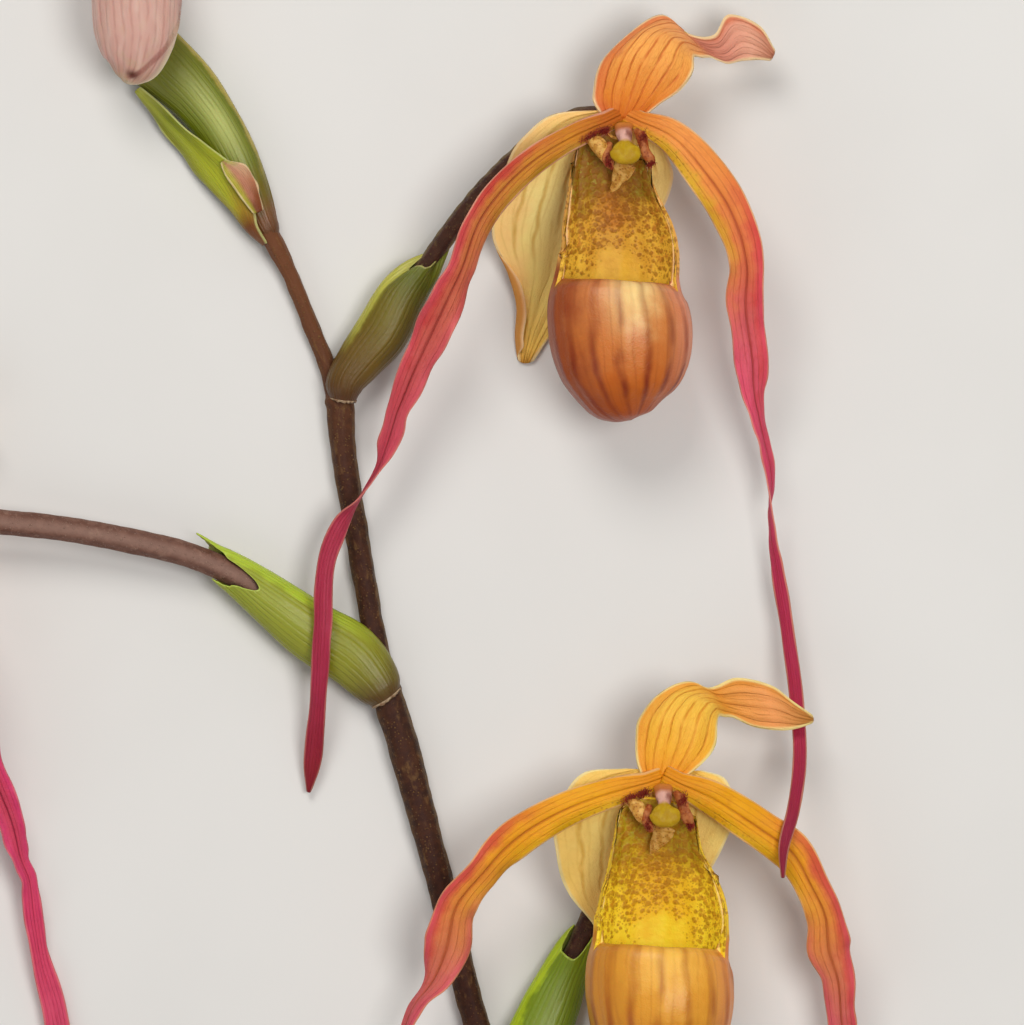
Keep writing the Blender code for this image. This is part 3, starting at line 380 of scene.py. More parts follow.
def bumps(a, b, seed, count, low, high):
    """A smooth seeded unevenness over two measures, from about -1 to 1."""
    draw = np.random.default_rng(seed)
    total = np.zeros(np.broadcast(a, b).shape)
    for _ in range(count):
        turn = draw.uniform(0, math.pi)
        size = draw.uniform(low, high)
        total += np.sin((a * math.cos(turn) + b * math.sin(turn)) * size + draw.uniform(0, 6.28))
    return total / math.sqrt(count)


# Grids of points become patches, and patches are welded into pieces.


def normals_of(points, closed):
    if closed:
        wide = np.concatenate([points[:, -1:], points, points[:, :1]], axis=1)
        across = wide[:, 2:] - wide[:, :-2]
    else:
        across = np.gradient(points, axis=1)
    found = np.cross(across, np.gradient(points, axis=0))
    for row, near in ((0, 1), (-1, -2)):
        if np.linalg.norm(found[row], axis=-1).max() < 1e-6:
            found[row] = found[near].mean(axis=0)
    return unit(found)


def outward_normals(points):
    normals = normals_of(points, True)
    away = points - points.mean(axis=1, keepdims=True)
    return normals if (normals * away).sum() > 0 else -normals


def from_axis(points):
    """Directions square to a rod, from the middle of each ring to its points."""
    return unit(points - points.mean(axis=1, keepdims=True))


def rounded_maps(shape, blade, margin, closed):
    """Both maps as grids with two values at each point, and a last column that closes a ring."""
    rows, wide = shape[:2]
    wide += 1 if closed else 0
    made = []
    for one, other in (blade, margin):
        made.append(np.stack(np.broadcast_arrays(one, other, np.zeros((rows, wide)))[:2], axis=-1))
    return made


def patch(points, blade, margin, kind=0, closed=False):
    """A grid of points with its maps: blade holds shares across and along, margin millimetres."""
    maps = rounded_maps(points.shape, blade, margin, closed)
    return {"points": points, "maps": maps, "kind": kind, "closed": closed}


def blade_patches(points, thickness, blade, margin, kinds=(0, 0)):
    """Front, back and rounded rim of a thin blade, whose front faces up at its first rows."""
    normals = normals_of(points, False)
    rows, wide = points.shape[:2]
    if normals[: rows // 4, :, 2].mean() < 0:
        normals = -normals
    thickness = np.broadcast_to(thickness, (rows, wide))[..., None]
    front = points + normals * thickness / 2
    back = points - normals * thickness / 2
    made = [patch(front, blade, margin, kinds[0]), patch(back, blade, margin, kinds[1])]
    i = [*[0] * wide, *range(1, rows), *[rows - 1] * (wide - 1), *range(rows - 2, 0, -1)]
    j = [*range(wide), *[wide - 1] * (rows - 1), *range(wide - 2, -1, -1), *[0] * (rows - 2)]
    i, j = np.array(i), np.array(j)
    inner = points[np.clip(i, 1, rows - 2), np.clip(j, 1, wide - 2)]
    middle = points[i, j] + unit(points[i, j] - inner) * thickness[i, j] * BLADE_EDGE
    strip = np.stack([front[i, j], middle, back[i, j]])
    edge_maps = []
    for pair in made[0]["maps"]:
        ring = pair[i, j]
        ring = np.concatenate([ring, ring[:1]])
        edge_maps.append(np.broadcast_to(ring, (3, *ring.shape)))
    made.append({"points": strip, "maps": edge_maps, "kind": kinds[0], "closed": True})
    return made


def tube_patches(points, blade, margin, kind=0, caps=(True, True)):
    """The side of a rod, with each end drawn in to its middle where caps asks for it."""
    rings = [points]
    if caps[0]:
        rings.insert(0, np.broadcast_to(points[0].mean(axis=0), (1, *points[0].shape)))
    if caps[1]:
        rings.append(np.broadcast_to(points[-1].mean(axis=0), (1, *points[-1].shape)))
    grid = np.concatenate(rings)
    padding = ((int(caps[0]), int(caps[1])), (0, 0), (0, 0))
    maps = rounded_maps(points.shape, blade, margin, True)
    maps = [np.pad(one, padding, mode="edge") for one in maps]
    return [{"points": grid, "maps": maps, "kind": kind, "closed": True}]


def wall_patches(points, thickness, blade, margin, kinds, lift=0.0):
    """The outer side, inner side and rounded edges of a tube's wall. Only open ends get an edge.

    The lift raises the inner side, by a height at each point.
    """
    normals = outward_normals(points)
    inner = points - normals * np.broadcast_to(thickness, points.shape[:2])[..., None]
    inner[..., 2] += lift
    made = [patch(points, blade, margin, kinds[0], True), patch(inner, blade, margin, kinds[1], True)]
    for row, near in ((0, 1), (-1, -2)):
        ring = points[row]
        if np.ptp(ring, axis=0).max() < 1e-6:
            continue
        thick = np.linalg.norm(ring - inner[row], axis=-1)[:, None]
        middle = (ring + inner[row]) / 2 + unit(ring - points[near]) * thick * WALL_EDGE
        maps = [np.broadcast_to(one[row], (3, *one[row].shape)) for one in made[0]["maps"]]
        strip = np.stack([ring, middle, inner[row]])
        made.append({"points": strip, "maps": maps, "kind": kinds[0], "closed": True})
    return made


def build(name, patches, materials, nodes):
    """One piece from its patches, welded where they meet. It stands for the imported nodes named."""
    points, faces, kinds, corners, base = [], [], [], [[], []], 0
    for one in patches:
        rows, wide = one["points"].shape[:2]
        cells = wide if one["closed"] else wide - 1
        i, j = np.meshgrid(np.arange(rows - 1), np.arange(cells), indexing="ij")
        i, j = i.ravel(), j.ravel()
        row = np.stack([i, i, i + 1, i + 1], axis=1)
        column = np.stack([j, j + 1, j + 1, j], axis=1)
        points.append(one["points"].reshape(-1, 3))
        faces.append(base + row * wide + column % wide)
        kinds.append(np.full(len(i), one["kind"]))
        for values, grid in zip(corners, one["maps"]):
            values.append(grid[row, column].reshape(-1, 2))
        base += rows * wide
    flat = (np.concatenate(points) - LAYOUT_CENTRE) * MM
    mesh = bpy.data.meshes.new(name)
    mesh.from_pydata(flat, [], np.concatenate(faces).tolist())
    mesh.polygons.foreach_set("material_index", np.concatenate(kinds).astype(np.int32))
    for title, values in zip(("Blade", "Margin"), corners):
        layer = mesh.uv_layers.new(name=title)
        layer.data.foreach_set("uv", np.concatenate(values).astype(np.float32).ravel())
    shape = bmesh.new()
    shape.from_mesh(mesh)
    bmesh.ops.remove_doubles(shape, verts=shape.verts, dist=2e-7)
    bmesh.ops.dissolve_degenerate(shape, dist=1e-8, edges=shape.edges)
    bmesh.ops.recalc_face_normals(shape, faces=shape.faces)
    shape.to_mesh(mesh)
    shape.free()
    mesh.shade_smooth()
    for material in materials:
        mesh.materials.append(material)
    piece = bpy.data.objects.new(name, mesh)
    bpy.context.scene.collection.objects.link(piece)
    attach(piece, "root")
    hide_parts(*nodes)
    return piece


# Materials, made of nodes alone.


class Value:
    """A value that some nodes of a material make. Each sum, product or fade of it adds a node."""

    def __init__(self, paint, socket):
        self.paint = paint
        self.socket = socket

    def __add__(self, other):
        return self.paint.math("ADD", self, other)

    def __sub__(self, other):
        return self.paint.math("SUBTRACT", self, other)

    def __mul__(self, other):
        return self.paint.math("MULTIPLY", self, other)

    def __abs__(self):
        return self.paint.math("ABSOLUTE", self, 0.0)

    __radd__ = __add__

    def fade(self, start, end):
        """0 where the value is at the start and 1 at the end, smoothly between."""
        made = self.paint.node("ShaderNodeMapRange", interpolation_type="SMOOTHSTEP")
        for socket, number in zip(made.inputs[:5], (self, start, end, 0.0, 1.0)):
            self.paint.put(socket, number)
        return Value(self.paint, made.outputs[0])

    def hump(self, middle, half):
        """1 at the middle, falling smoothly to 0 at half a width from it."""
        return abs(self - middle).fade(half, 0.0)


class Paint:
    """The nodes of one material, with the colour so far. Its calls add nodes and give their values."""

    def __init__(self, name, **settings):
        self.made = bpy.data.materials.new(name)
        self.made.use_nodes = True
        self.tree = self.made.node_tree
        self.shader = self.tree.nodes["Principled BSDF"]
        self.fill(self.shader, **settings)
        self.place = self.spot()
        self.colour = None

    def put(self, socket, value):
        if isinstance(value, Value):
            self.tree.links.new(value.socket, socket)
        elif isinstance(value, tuple) and socket.type == "RGBA":
            socket.default_value = (*value, 1.0)
        else:
            socket.default_value = value

    def node(self, kind, **settings):
        made = self.tree.nodes.new(kind)
        for title, value in settings.items():
            setattr(made, title, value)
        return made

    def fill(self, made, **values):
        """Puts values in a node's inputs, named with _ for each space, and gives its first output."""
        for title, value in values.items():
            self.put(made.inputs[title.replace("_", " ")], value)
        return Value(self, made.outputs[0])

    def math(self, operation, a, b):
        made = self.node("ShaderNodeMath", operation=operation)
        self.put(made.inputs[0], a)
        self.put(made.inputs[1], b)
        return Value(self, made.outputs[0])

    def mix(self, share, a, b):
        made = self.node("ShaderNodeMix", data_type="RGBA")
        for index, value in ((0, share), (6, a), (7, b)):
            self.put(made.inputs[index], value)
        return Value(self, made.outputs[2])

    def tint(self, colour, share):
        """Lays a share of another colour over the colour so far."""
        self.colour = self.mix(share, self.colour, colour)

    def ramp(self, value, *stops):
        made = self.node("ShaderNodeValToRGB")
        elements = made.color_ramp.elements
        for element, (place, colour) in zip(elements, (stops[0], stops[-1])):
            element.position = place
            element.color = (*colour, 1.0)
        for place, colour in stops[1:-1]:
            elements.new(place).color = (*colour, 1.0)
        self.put(made.inputs[0], value)
        return Value(self, made.outputs[0])

    def join(self, x, y, z):
        return self.fill(self.node("ShaderNodeCombineXYZ"), X=x, Y=y, Z=z)

    def map(self, title):
        """Both values of a map."""
        source = Value(self, self.node("ShaderNodeUVMap", uv_map=title).outputs[0])
        split = self.node("ShaderNodeSeparateXYZ")
        self.put(split.inputs[0], source)
        return Value(self, split.outputs[0]), Value(self, split.outputs[1])

    def spot(self):
        """The place on the object, in millimetres."""
        source = Value(self, self.node("ShaderNodeTexCoord").outputs["Object"])
        made = self.node("ShaderNodeVectorMath", operation="SCALE")
        self.put(made.inputs[0], source)
        self.put(made.inputs["Scale"], 1000.0)
        return Value(self, made.outputs[0])

    def noise(self, scale, detail, roughness=0.5, vector=None):
        made = self.node("ShaderNodeTexNoise")
        where = vector or self.place
        return self.fill(made, Vector=where, Scale=scale, Detail=detail, Roughness=roughness)

    def cells(self, scale):
        return self.fill(self.node("ShaderNodeTexVoronoi"), Vector=self.place, Scale=scale)

    def veins(self, across, way, count, seed, wander, width):
        """Thin lines along a surface, as many as count across it, that wander and fade out."""
        drift = self.join(across * (count * 0.4), way * 5.0, seed)
        shift = (self.noise(1.0, 2.0, 0.5, drift) - 0.5) * (wander * 2)
        line = self.math("PINGPONG", across * count + shift, 0.5).fade(width, 0.0)
        broken = self.join(across * (count * 0.8), way * 7.0, seed + 3.0)
        return line * self.noise(1.0, 2.0, 0.5, broken).fade(0.25, 0.6)

    def net(self, across, way, count, rows, width):
        """The outlines of long cells, which join the veins across."""
        made = self.node("ShaderNodeTexVoronoi", feature="DISTANCE_TO_EDGE")
        edge = self.fill(made, Vector=self.join(across * count, way * rows, 4.0), Scale=1.0)
        return edge.fade(width, 0.0)

    def finish(self, roughness, height, depth):
        """Joins the colour, the roughness and a relief, whose depth is in millimetres."""
        made = self.node("ShaderNodeBump")
        relief = self.fill(made, Strength=1.0, Distance=depth * MM, Height=height)
        self.fill(self.shader, Base_Color=self.colour, Roughness=roughness, Normal=relief)
        return self.made


def started(name, scale, **settings):
    """A paint with the shares across and along, the margin, and large soft patches of a scale."""
    paint = Paint(name, **settings)
    across, way = paint.map("Blade")
    rim, _ = paint.map("Margin")
    return paint, across, way, rim, paint.noise(scale, 3.0)


WAXY = {"Coat_Weight": 0.04, "Coat_Roughness": 0.35, "Specular_IOR_Level": 0.2}


def petal_paint(name, stops, edge, inner, vein, edge_from, rim_colour, blush):
    """A petal, from its base at 0 to its tip at 1. Its outer margin is at 1 across."""
    paint, across, way, rim, patchy = started(name, 0.2, Subsurface_Weight=0.1, Subsurface_Scale=0.001,
                                              **WAXY)
    wander = (patchy - 0.5) * 0.5
    paint.colour = paint.ramp(way + wander * 0.1, *stops)
    early = way.fade(0.6, 0.34) * way.fade(edge_from, edge_from + 0.1)
    outer = (across + wander).fade(0.55, 0.9) * early
    paint.tint(edge, outer * 0.9)
    both = rim.fade(2.6, 0.3) * way.fade(0.16, 0.3) * way.fade(0.66, 0.5)
    paint.tint(blush, both * 0.6)
    low = (across + wander).fade(0.4, 0.06) * way.fade(0.36, 0.1)
    paint.tint(inner, low * 0.8)
    specks = low * paint.cells(0.9).fade(0.36, 0.26) * way.fade(0.16, 0.05)
    paint.tint((0.3, 0.13, 0.01), specks * 0.5)
    lines = paint.veins(across, way, 6.0, 4.0, 0.45, 0.16)
    paint.tint(vein, lines * 0.3)
    mesh = paint.net(across, way, 9.0, 44.0, 0.16)
    paint.tint(vein, mesh * patchy.fade(0.35, 0.6) * 0.16)
    rib = across.hump(0.5, 0.06) * way.fade(0.66, 0.48)
    paint.tint(vein, rib * way.fade(0.02, 0.1) * 0.5)
    wide_rib = across.hump(0.5, 0.17) * way.fade(0.06, 0.18) * way.fade(0.6, 0.44)
    paint.tint(vein, wide_rib * 0.3)
    pale = rim.fade(0.4, 0.08) * (0.3 + way.fade(0.3, 0.16) * 0.4)
    paint.tint(rim_colour, pale)
    grain = paint.noise(2.6, 3.0, 0.6, paint.join(across * 9.0, way * 34.0, 1.0))
    fine = paint.cells(3.2)
    height = grain * 0.8 + (fine * 0.35 + rib * -0.8)
    height = height + lines * -0.5
    rough = 0.36 + patchy * 0.22
    return paint.finish(rough, height, 0.22)


def sepal_paint(name, stops, vein, wash, count, strength, rim_colour, net=0.0):
    """A sepal with long veins, from its base at 0 to its tip at 1, and a wash at 0 across."""
    paint, across, way, rim, patchy = started(name, 0.2, Subsurface_Weight=0.04, Subsurface_Scale=0.0006,
                                              **WAXY)
    wander = (patchy - 0.5) * 0.3
    paint.colour = paint.ramp(way, *stops)
    paint.tint(wash, (across + wander).fade(0.28, 0.02) * 0.75)
    lines = paint.veins(across, way, count, 7.0, 0.4, 0.17)
    thin = paint.veins(across, way, count * 2.2, 2.0, 0.6, 0.18)
    fewer = 0.15 + way.fade(0.66, 0.5) * 0.85
    paint.tint(vein, lines * fewer * strength)
    paint.tint(vein, thin * fewer * (strength * 0.35))
    mesh = paint.net(across, way, count * 1.6, 16.0, 0.14)
    paint.tint(vein, mesh * fewer * net)
    paint.tint(rim_colour, rim.fade(0.95, 0.15) * 0.85)
    grain = paint.noise(2.4, 3.0, 0.6, paint.join(across * 26.0, way * 20.0, 2.0))
    height = grain * 0.7 + paint.cells(2.6) * 0.35
    height = height + lines * -0.8
    rough = 0.38 + patchy * 0.2
    return paint.finish(rough, height, 0.24)


def bulb_paint(name, stops, painted_highlight, pink, vein, shade_colour, rim_colour, lobe_colour, tilt):
    """The outside of the pouch: across is the turn round it, and way runs from toe to throat."""
    paint, across, way, rim, patchy = started(name, 0.14, Subsurface_Weight=0.1, Subsurface_Scale=0.0012,
                                              Coat_Weight=0.14, Coat_Roughness=0.22,
                                              Specular_IOR_Level=0.28)
    wander = (patchy - 0.5) * 0.2
    paint.colour = paint.ramp(way + wander, *stops)
    # Painted shade: the bulb's left side darker.
    shade = (across + wander).fade(0.26, 0.42) * across.fade(0.7, 0.55)
    paint.tint(shade_colour, shade * 0.85)
    # A pale painted highlight on the upper front, a little right of the middle.
    highlight_zone = (across + wander * 0.3).hump(tilt, 0.105) * (way + wander).fade(0.35, 0.5)
    paint.tint(painted_highlight, highlight_zone * 0.95)
    blush = across.fade(0.15, 0.04) * way.fade(0.16, 0.4)
    blush = paint.math("MAXIMUM", blush, across.fade(0.9, 0.98) * way.fade(0.2, 0.4))
    blush = blush * way.fade(0.64, 0.56)
    paint.tint(pink, blush * 0.8)
    lines = paint.veins(across, way, 16.0, 5.0, 0.4, 0.3)
    thin = paint.veins(across, way, 37.0, 9.0, 0.7, 0.2)
    heavy = 0.42 + way.hump(0.25, 0.24) * 0.5
    paint.tint(vein, lines * heavy * way.fade(0.01, 0.08))
    paint.tint(vein, thin * 0.2 * way.fade(0.02, 0.1))
    paint.tint(rim_colour, rim.fade(0.75, 0.25) * 0.65)
    lobe = way.fade(0.56, 0.61) * rim.fade(9.0, 4.0)
    paint.tint(lobe_colour, lobe)
    dots = lobe * paint.cells(0.9).fade(0.42, 0.26)
    paint.tint(vein, dots * 0.5)
    fine = paint.cells(2.4)
    height = fine * 0.25 + paint.noise(0.8, 3.0, 0.6) * 0.8
    height = height + lines * -0.5
    rough = 0.3 + patchy * 0.2
    return paint.finish(rough, height, 0.2)


def throat_paint(name, olive, gold, bright, dot, rust, pale):
    """The speckled inside of the pouch: golden below, olive towards the column. Its olive depths and rusty
    middle are partly painted shade, and its bright band and flanks partly painted light.
    """
    paint, across, way, rim, patchy = started(name, 0.22, Subsurface_Weight=0.04, Subsurface_Scale=0.0006,
                                              Coat_Weight=0.06, Coat_Roughness=0.35,
                                              Specular_IOR_Level=0.25)
    wander = (patchy - 0.5) * 0.25
    side = abs(across - 0.75)
    where = way + wander
    # Olive towards the column and a bright band near the rim: partly the throat's own colours, partly
    # painted shade deep in the pouch and painted light at its rim.
    paint.colour = paint.ramp(where, (0.0, gold), (0.5, gold), (0.56, bright), (0.64, gold), (0.72, gold),
                              (0.83, olive), (1.0, olive))
    # A rusty patch in the middle under the shield: partly its own colour, partly painted shade of the
    # opening.
    centre = side.hump(0.0, 0.1) * where.hump(0.76, 0.13)
    paint.tint(rust, centre * 0.7)
    # Brighter flanks low in the throat: partly painted light.
    flank = side.fade(0.07, 0.13) * where.fade(0.82, 0.68)
    paint.tint(bright, flank * 0.65)
    bare = side.hump(0.0, 0.12) * where.fade(0.68, 0.58)
    jitter = paint.noise(0.8, 2.0) - 0.5
    spread = 0.44 + jitter * 0.5
    spread = spread + where.fade(0.6, 0.84) * 0.12
    spread = spread - bare * 0.6
    spread = spread - where.fade(0.6, 0.52) * 0.2
    dots = (spread - paint.cells(0.72)).fade(-0.15, 0.18)
    small = (spread - 0.06 - paint.cells(1.5)).fade(-0.13, 0.16)
    paint.tint(dot, dots * 0.62)
    paint.tint(dot, small * 0.5)
    net = paint.cells(0.6).fade(0.5, 0.78) * where.fade(0.58, 0.68) * flank
    paint.tint(rust, net * 0.6)
    glint = paint.noise(0.7, 2.0).fade(0.56, 0.7) * where.fade(0.8, 0.88)
    paint.tint((0.44, 0.42, 0.06), glint * 0.5)
    edge = rim.fade(1.1, 0.2) * side.fade(0.1, 0.16)
    paint.tint(pale, edge * 0.75)
    height = dots * 0.6 + paint.noise(1.0, 3.0, 0.6) * 0.8
    rough = 0.42 + patchy * 0.2
    return paint.finish(rough, height, 0.2)


def stem_paint(name, dark, middle, fleck, top, side_colour, upper_colour):
    """A mottled, downy stem or stalk, with a painted sheen along its sides and, on the mauve stalks, a
    painted highlight on its top. Across is the turn round it, with its top at a quarter.
    """
    paint = Paint(name, Specular_IOR_Level=0.2, Sheen_Weight=0.04, Sheen_Roughness=0.5)
    across, way = paint.map("Blade")
    stretched = paint.join(across * 9.0, way * 60.0, 3.0)
    streak = paint.noise(1.2, 4.0, 0.6, stretched)
    patchy = paint.noise(0.5, 4.0, 0.6)
    paint.colour = paint.mix(patchy.fade(0.38, 0.64), dark, middle)
    # The upper side takes the top colour: on the mauve stalks a paler painted highlight from above.
    upper = across.hump(0.25, 0.15)
    paint.tint(top, upper * 0.55)
    # Both sides, seen edge-on, take the side colour in patches: a painted sheen of the down.
    flank = paint.math("MAXIMUM", across.hump(0.02, 0.11), across.hump(0.5, 0.13))
    paint.tint(side_colour, flank * patchy.fade(0.3, 0.58) * 0.65)
    paint.tint(upper_colour, way.fade(0.74, 0.98) * 0.75)
    flecks = paint.cells(1.3).fade(0.36, 0.16)
    chosen = paint.noise(0.7, 2.0).fade(0.46, 0.6)
    paint.tint(fleck, flecks * chosen * 0.65)
    paint.tint(fleck, streak.fade(0.54, 0.74) * 0.45)
    height = streak * 0.7 + flecks * chosen * 0.7
    height = height + paint.noise(3.0, 3.0, 0.6) * 0.6
    rough = 0.46 + patchy * 0.22
    return paint.finish(rough, height, 0.26)


def bract_paint(name, stops, bright, vein, bright_from, bright_to, rim_colour, lit=0.4):
    """A glossy green sheath. Across is the turn round it, and way runs from its foot to its tip.

    The bright colour lies between two turns round it.
    """
    paint, across, way, rim, patchy = started(name, 0.2, Subsurface_Weight=0.08, Subsurface_Scale=0.001,
                                              Coat_Weight=0.16, Coat_Roughness=0.26,
                                              Specular_IOR_Level=0.35)
    wander = (patchy - 0.5) * 0.1
    paint.colour = paint.ramp(way + wander, *stops)
    around = across + wander
    band = around.fade(bright_from, bright_from + 0.05) * around.fade(bright_to, bright_to - 0.05)
    band = band * way.fade(0.16, 0.42)
    paint.tint(bright, band * 0.92)
    # A painted highlight: a lighter, yellower patch on the upper side halfway along, as strong as lit.
    painted_highlight = across.hump(0.22, 0.13) * way.hump(0.52, 0.3)
    paint.tint(paint.mix(0.6, paint.colour, (0.62, 0.66, 0.2)), painted_highlight * lit)
    lines = paint.veins(across, way, 34.0, 6.0, 0.35, 0.3)
    paint.tint(vein, lines * 0.24)
    foot = (way + wander * 0.8).fade(0.14, 0.0)
    paint.tint((0.085, 0.03, 0.008), foot * 0.75)
    paint.tint(rim_colour, rim.fade(0.45, 0.1) * 0.6)
    height = lines * -0.5 + paint.noise(0.9, 3.0, 0.6) * 0.7
    rough = 0.3 + patchy * 0.22
    return paint.finish(rough, height, 0.18)


def leaf_paint(name, stops, bright, vein, rim_colour, side_colour, side_share):
    """A flat bract, yellow-green in its middle."""
    paint, across, way, rim, patchy = started(name, 0.3, Subsurface_Weight=0.1, Subsurface_Scale=0.001,
                                              **WAXY)
    paint.colour = paint.ramp(way, *stops)
    middle = across.hump(0.42, 0.34) * way.fade(0.1, 0.3)
    paint.tint(bright, middle * 0.7)
    paint.tint(side_colour, across.fade(0.42, 0.1) * side_share)
    lines = paint.veins(across, way, 12.0, 5.0, 0.35, 0.25)
    paint.tint(vein, lines * 0.22)
    paint.tint(rim_colour, rim.fade(0.5, 0.1) * 0.7)
    height = lines * -0.5 + paint.noise(1.1, 3.0, 0.6) * 0.6
    return paint.finish(0.34 + patchy * 0.2, height, 0.18)


def bud_paint(name):
    paint = Paint(name, Subsurface_Weight=0.12, Subsurface_Scale=0.0012, Sheen_Weight=0.25,
                  Sheen_Roughness=0.4, Specular_IOR_Level=0.3)
    across, way = paint.map("Blade")
    seam, _ = paint.map("Margin")
    patchy = paint.noise(0.25, 3.0)
    paint.colour = paint.ramp(way, (0.0, (0.5, 0.3, 0.16)), (0.2, (0.66, 0.4, 0.33)),
                              (0.8, (0.64, 0.36, 0.3)), (0.9, (0.6, 0.32, 0.22)),
                              (0.96, (0.66, 0.42, 0.24)), (1.0, (0.6, 0.36, 0.18)))
    lines = paint.veins(across, way, 30.0, 3.0, 0.5, 0.3)
    paint.tint((0.42, 0.17, 0.14), lines * 0.42)
    pale = paint.veins(across, way, 15.0, 8.0, 0.8, 0.4)
    paint.tint((0.8, 0.58, 0.48), pale * 0.35)
    olive = patchy.fade(0.52, 0.7) * way.fade(0.5, 0.9)
    paint.tint((0.55, 0.42, 0.22), olive * 0.35)
    # A dark line along the seam: painted shade in the crease where the sepals lap.
    seam_shade = seam.fade(1.6, 0.3) * way.fade(0.45, 0.7) * way.fade(0.93, 0.88)
    paint.tint((0.26, 0.07, 0.05), seam_shade * 0.7)
    margin = across.fade(0.38, 0.46) * across.fade(0.62, 0.54) * way.fade(0.55, 0.8)
    paint.tint((0.9, 0.76, 0.52), margin * 0.85)
    tip = way.fade(0.935, 0.985) * patchy.fade(0.3, 0.5)
    paint.tint((0.84, 0.68, 0.42), tip * 0.5)
    # A dark spot near the tip: painted shade of a notch that the shape doesn't have.
    notch_shade = across.hump(0.265, 0.075) * way.hump(0.87, 0.045)
    paint.tint((0.1, 0.018, 0.008), notch_shade * 0.95)
    height = lines * -0.6 + paint.noise(2.2, 3.0, 0.6) * 0.5
    return paint.finish(0.5 + patchy * 0.15, height, 0.18)


def column_paint(name, body, top, spot_colour):
    """The column's stalk and its broad yellow-green shield."""
    paint = Paint(name, Subsurface_Weight=0.02, Subsurface_Scale=0.0005, **WAXY)
    across, way = paint.map("Blade")
    patchy = paint.noise(0.5, 3.0)
    paint.colour = paint.ramp(way, (0.0, (0.62, 0.22, 0.03)), (0.14, (0.5, 0.16, 0.05)), (0.26, top),
                              (0.46, top), (0.56, body), (0.88, body), (1.0, (0.42, 0.22, 0.02)))
    dark = (across + patchy * 0.2).fade(0.34, 0.42) * way.hump(0.32, 0.18)
    paint.tint(spot_colour, dark * 0.8)
    lit = patchy.fade(0.42, 0.6) * way.fade(0.5, 0.6)
    paint.tint((0.56, 0.37, 0.01), lit * 0.5)
    height = paint.noise(1.6, 3.0, 0.6) * 0.8 + paint.cells(3.0) * 0.3
    return paint.finish(0.34 + patchy * 0.15, height, 0.16)


def fold_paint(name, body, dot, pale):
    """A speckled fleshy fold."""
    paint = Paint(name, Subsurface_Weight=0.1, Subsurface_Scale=0.001, **WAXY)
    patchy = paint.noise(0.6, 3.0)
    paint.colour = paint.mix(patchy.fade(0.4, 0.62), body, pale)
    dots = paint.cells(1.5).fade(0.42, 0.28)
    paint.tint(dot, dots * patchy.fade(0.62, 0.45) * 0.7)
    return paint.finish(0.38 + patchy * 0.15, paint.noise(1.5, 3.0, 0.6), 0.18)


def plain_paint(name, first, second, size, roughness, depth):
    """Two colours in soft patches with a fine grain, for hairs, scars and cut tissue."""
    paint = Paint(name)
    patchy = paint.noise(size, 3.0, 0.6)
    paint.colour = paint.mix(patchy.fade(0.35, 0.65), first, second)
    return paint.finish(roughness + patchy * 0.1, paint.noise(size * 4, 3.0), depth)


# Organs.


def smooth(value, start, end):
    u = np.clip((np.asarray(value, float) - start) / (end - start), 0.0, 1.0)
    return u * u * (3 - 2 * u)


def petal(name, rows, place, outer, material, seed):
    """A long petal along its rows, with crimped margins, a groove over its rib and a twisted tail."""
    steps, wide = PETAL_GRID
    shares = np.linspace(0.0, 1.0, steps + 1)
    here, across, over = frames(rows, shares, 3)
    turn = np.radians(here[:, 4])[:, None]
    side = across * np.cos(turn) + over * np.sin(turn)
    face = over * np.cos(turn) - across * np.sin(turn)
    v = np.linspace(-1.0, 1.0, wide + 1)[None, :]
    s = shares[:, None]
    way = s * length_of(rows, 3)
    half = here[:, 3, None] / 2
    half = half + 0.5 * (1 - smooth(s, 0.0, 0.07))
    crimped = smooth(s, 0.1, 0.3) * (1 - 0.5 * smooth(s, 0.52, 0.66))
    outline = bumps(way, np.sign(v) * 9.0, seed, 4, 0.3, 0.75)
    half = half * (1 + 0.07 * crimped * outline * np.abs(v))
    quarter = half / 4.0
    height = 0.7 * np.sin(s * 60.0 + v * 1.3) * v * v * quarter
    fine = bumps(way, v * 2.0, seed + 1, 5, 0.45, 1.0)
    height = height + 0.45 * crimped * np.abs(v) ** 3 * fine * quarter
    height = height - 0.2 * half * v * v * (1 - smooth(s, 0.3, 0.55))
    height = height + 0.24 * half * v * v * smooth(s, 0.6, 0.7)
    height = height - 0.34 * np.exp(-((v / 0.15) ** 2)) * quarter * smooth(s, 0.0, 0.05)
    height = height + 0.1 * bumps(way, v * 3.0, seed + 2, 5, 0.3, 0.9)
    points = here[:, None, :3] + side[:, None] * (half * v)[..., None]
    points = points + face[:, None] * height[..., None] + np.array(place)
    back = unit((points[0] - points[1]).mean(axis=0))
    root = points[0] + back * PETAL_FOOT + [0.0, 0.3, -0.9]
    lead = np.linspace(0.0, 1.0, FOOT_STEPS + 1)[:-1, None, None]
    points = np.concatenate([root * (1 - lead) + points[0] * lead, points])
    half = np.pad(np.broadcast_to(half, (steps + 1, wide + 1)), ((FOOT_STEPS, 0), (0, 0)), mode="edge")
    shares = np.concatenate([np.zeros(FOOT_STEPS), shares])[:, None]
    thickness = 0.62 - 0.34 * np.abs(v) ** 3 + 0.5 * (1 - smooth(shares, 0.0, 0.06))
    u = (1 + v * outer) / 2
    patches = blade_patches(points, thickness, (u, shares), (half * (1 - np.abs(v)), 0.0))
    return build(name, patches, [material], [name.replace("long_", "")])


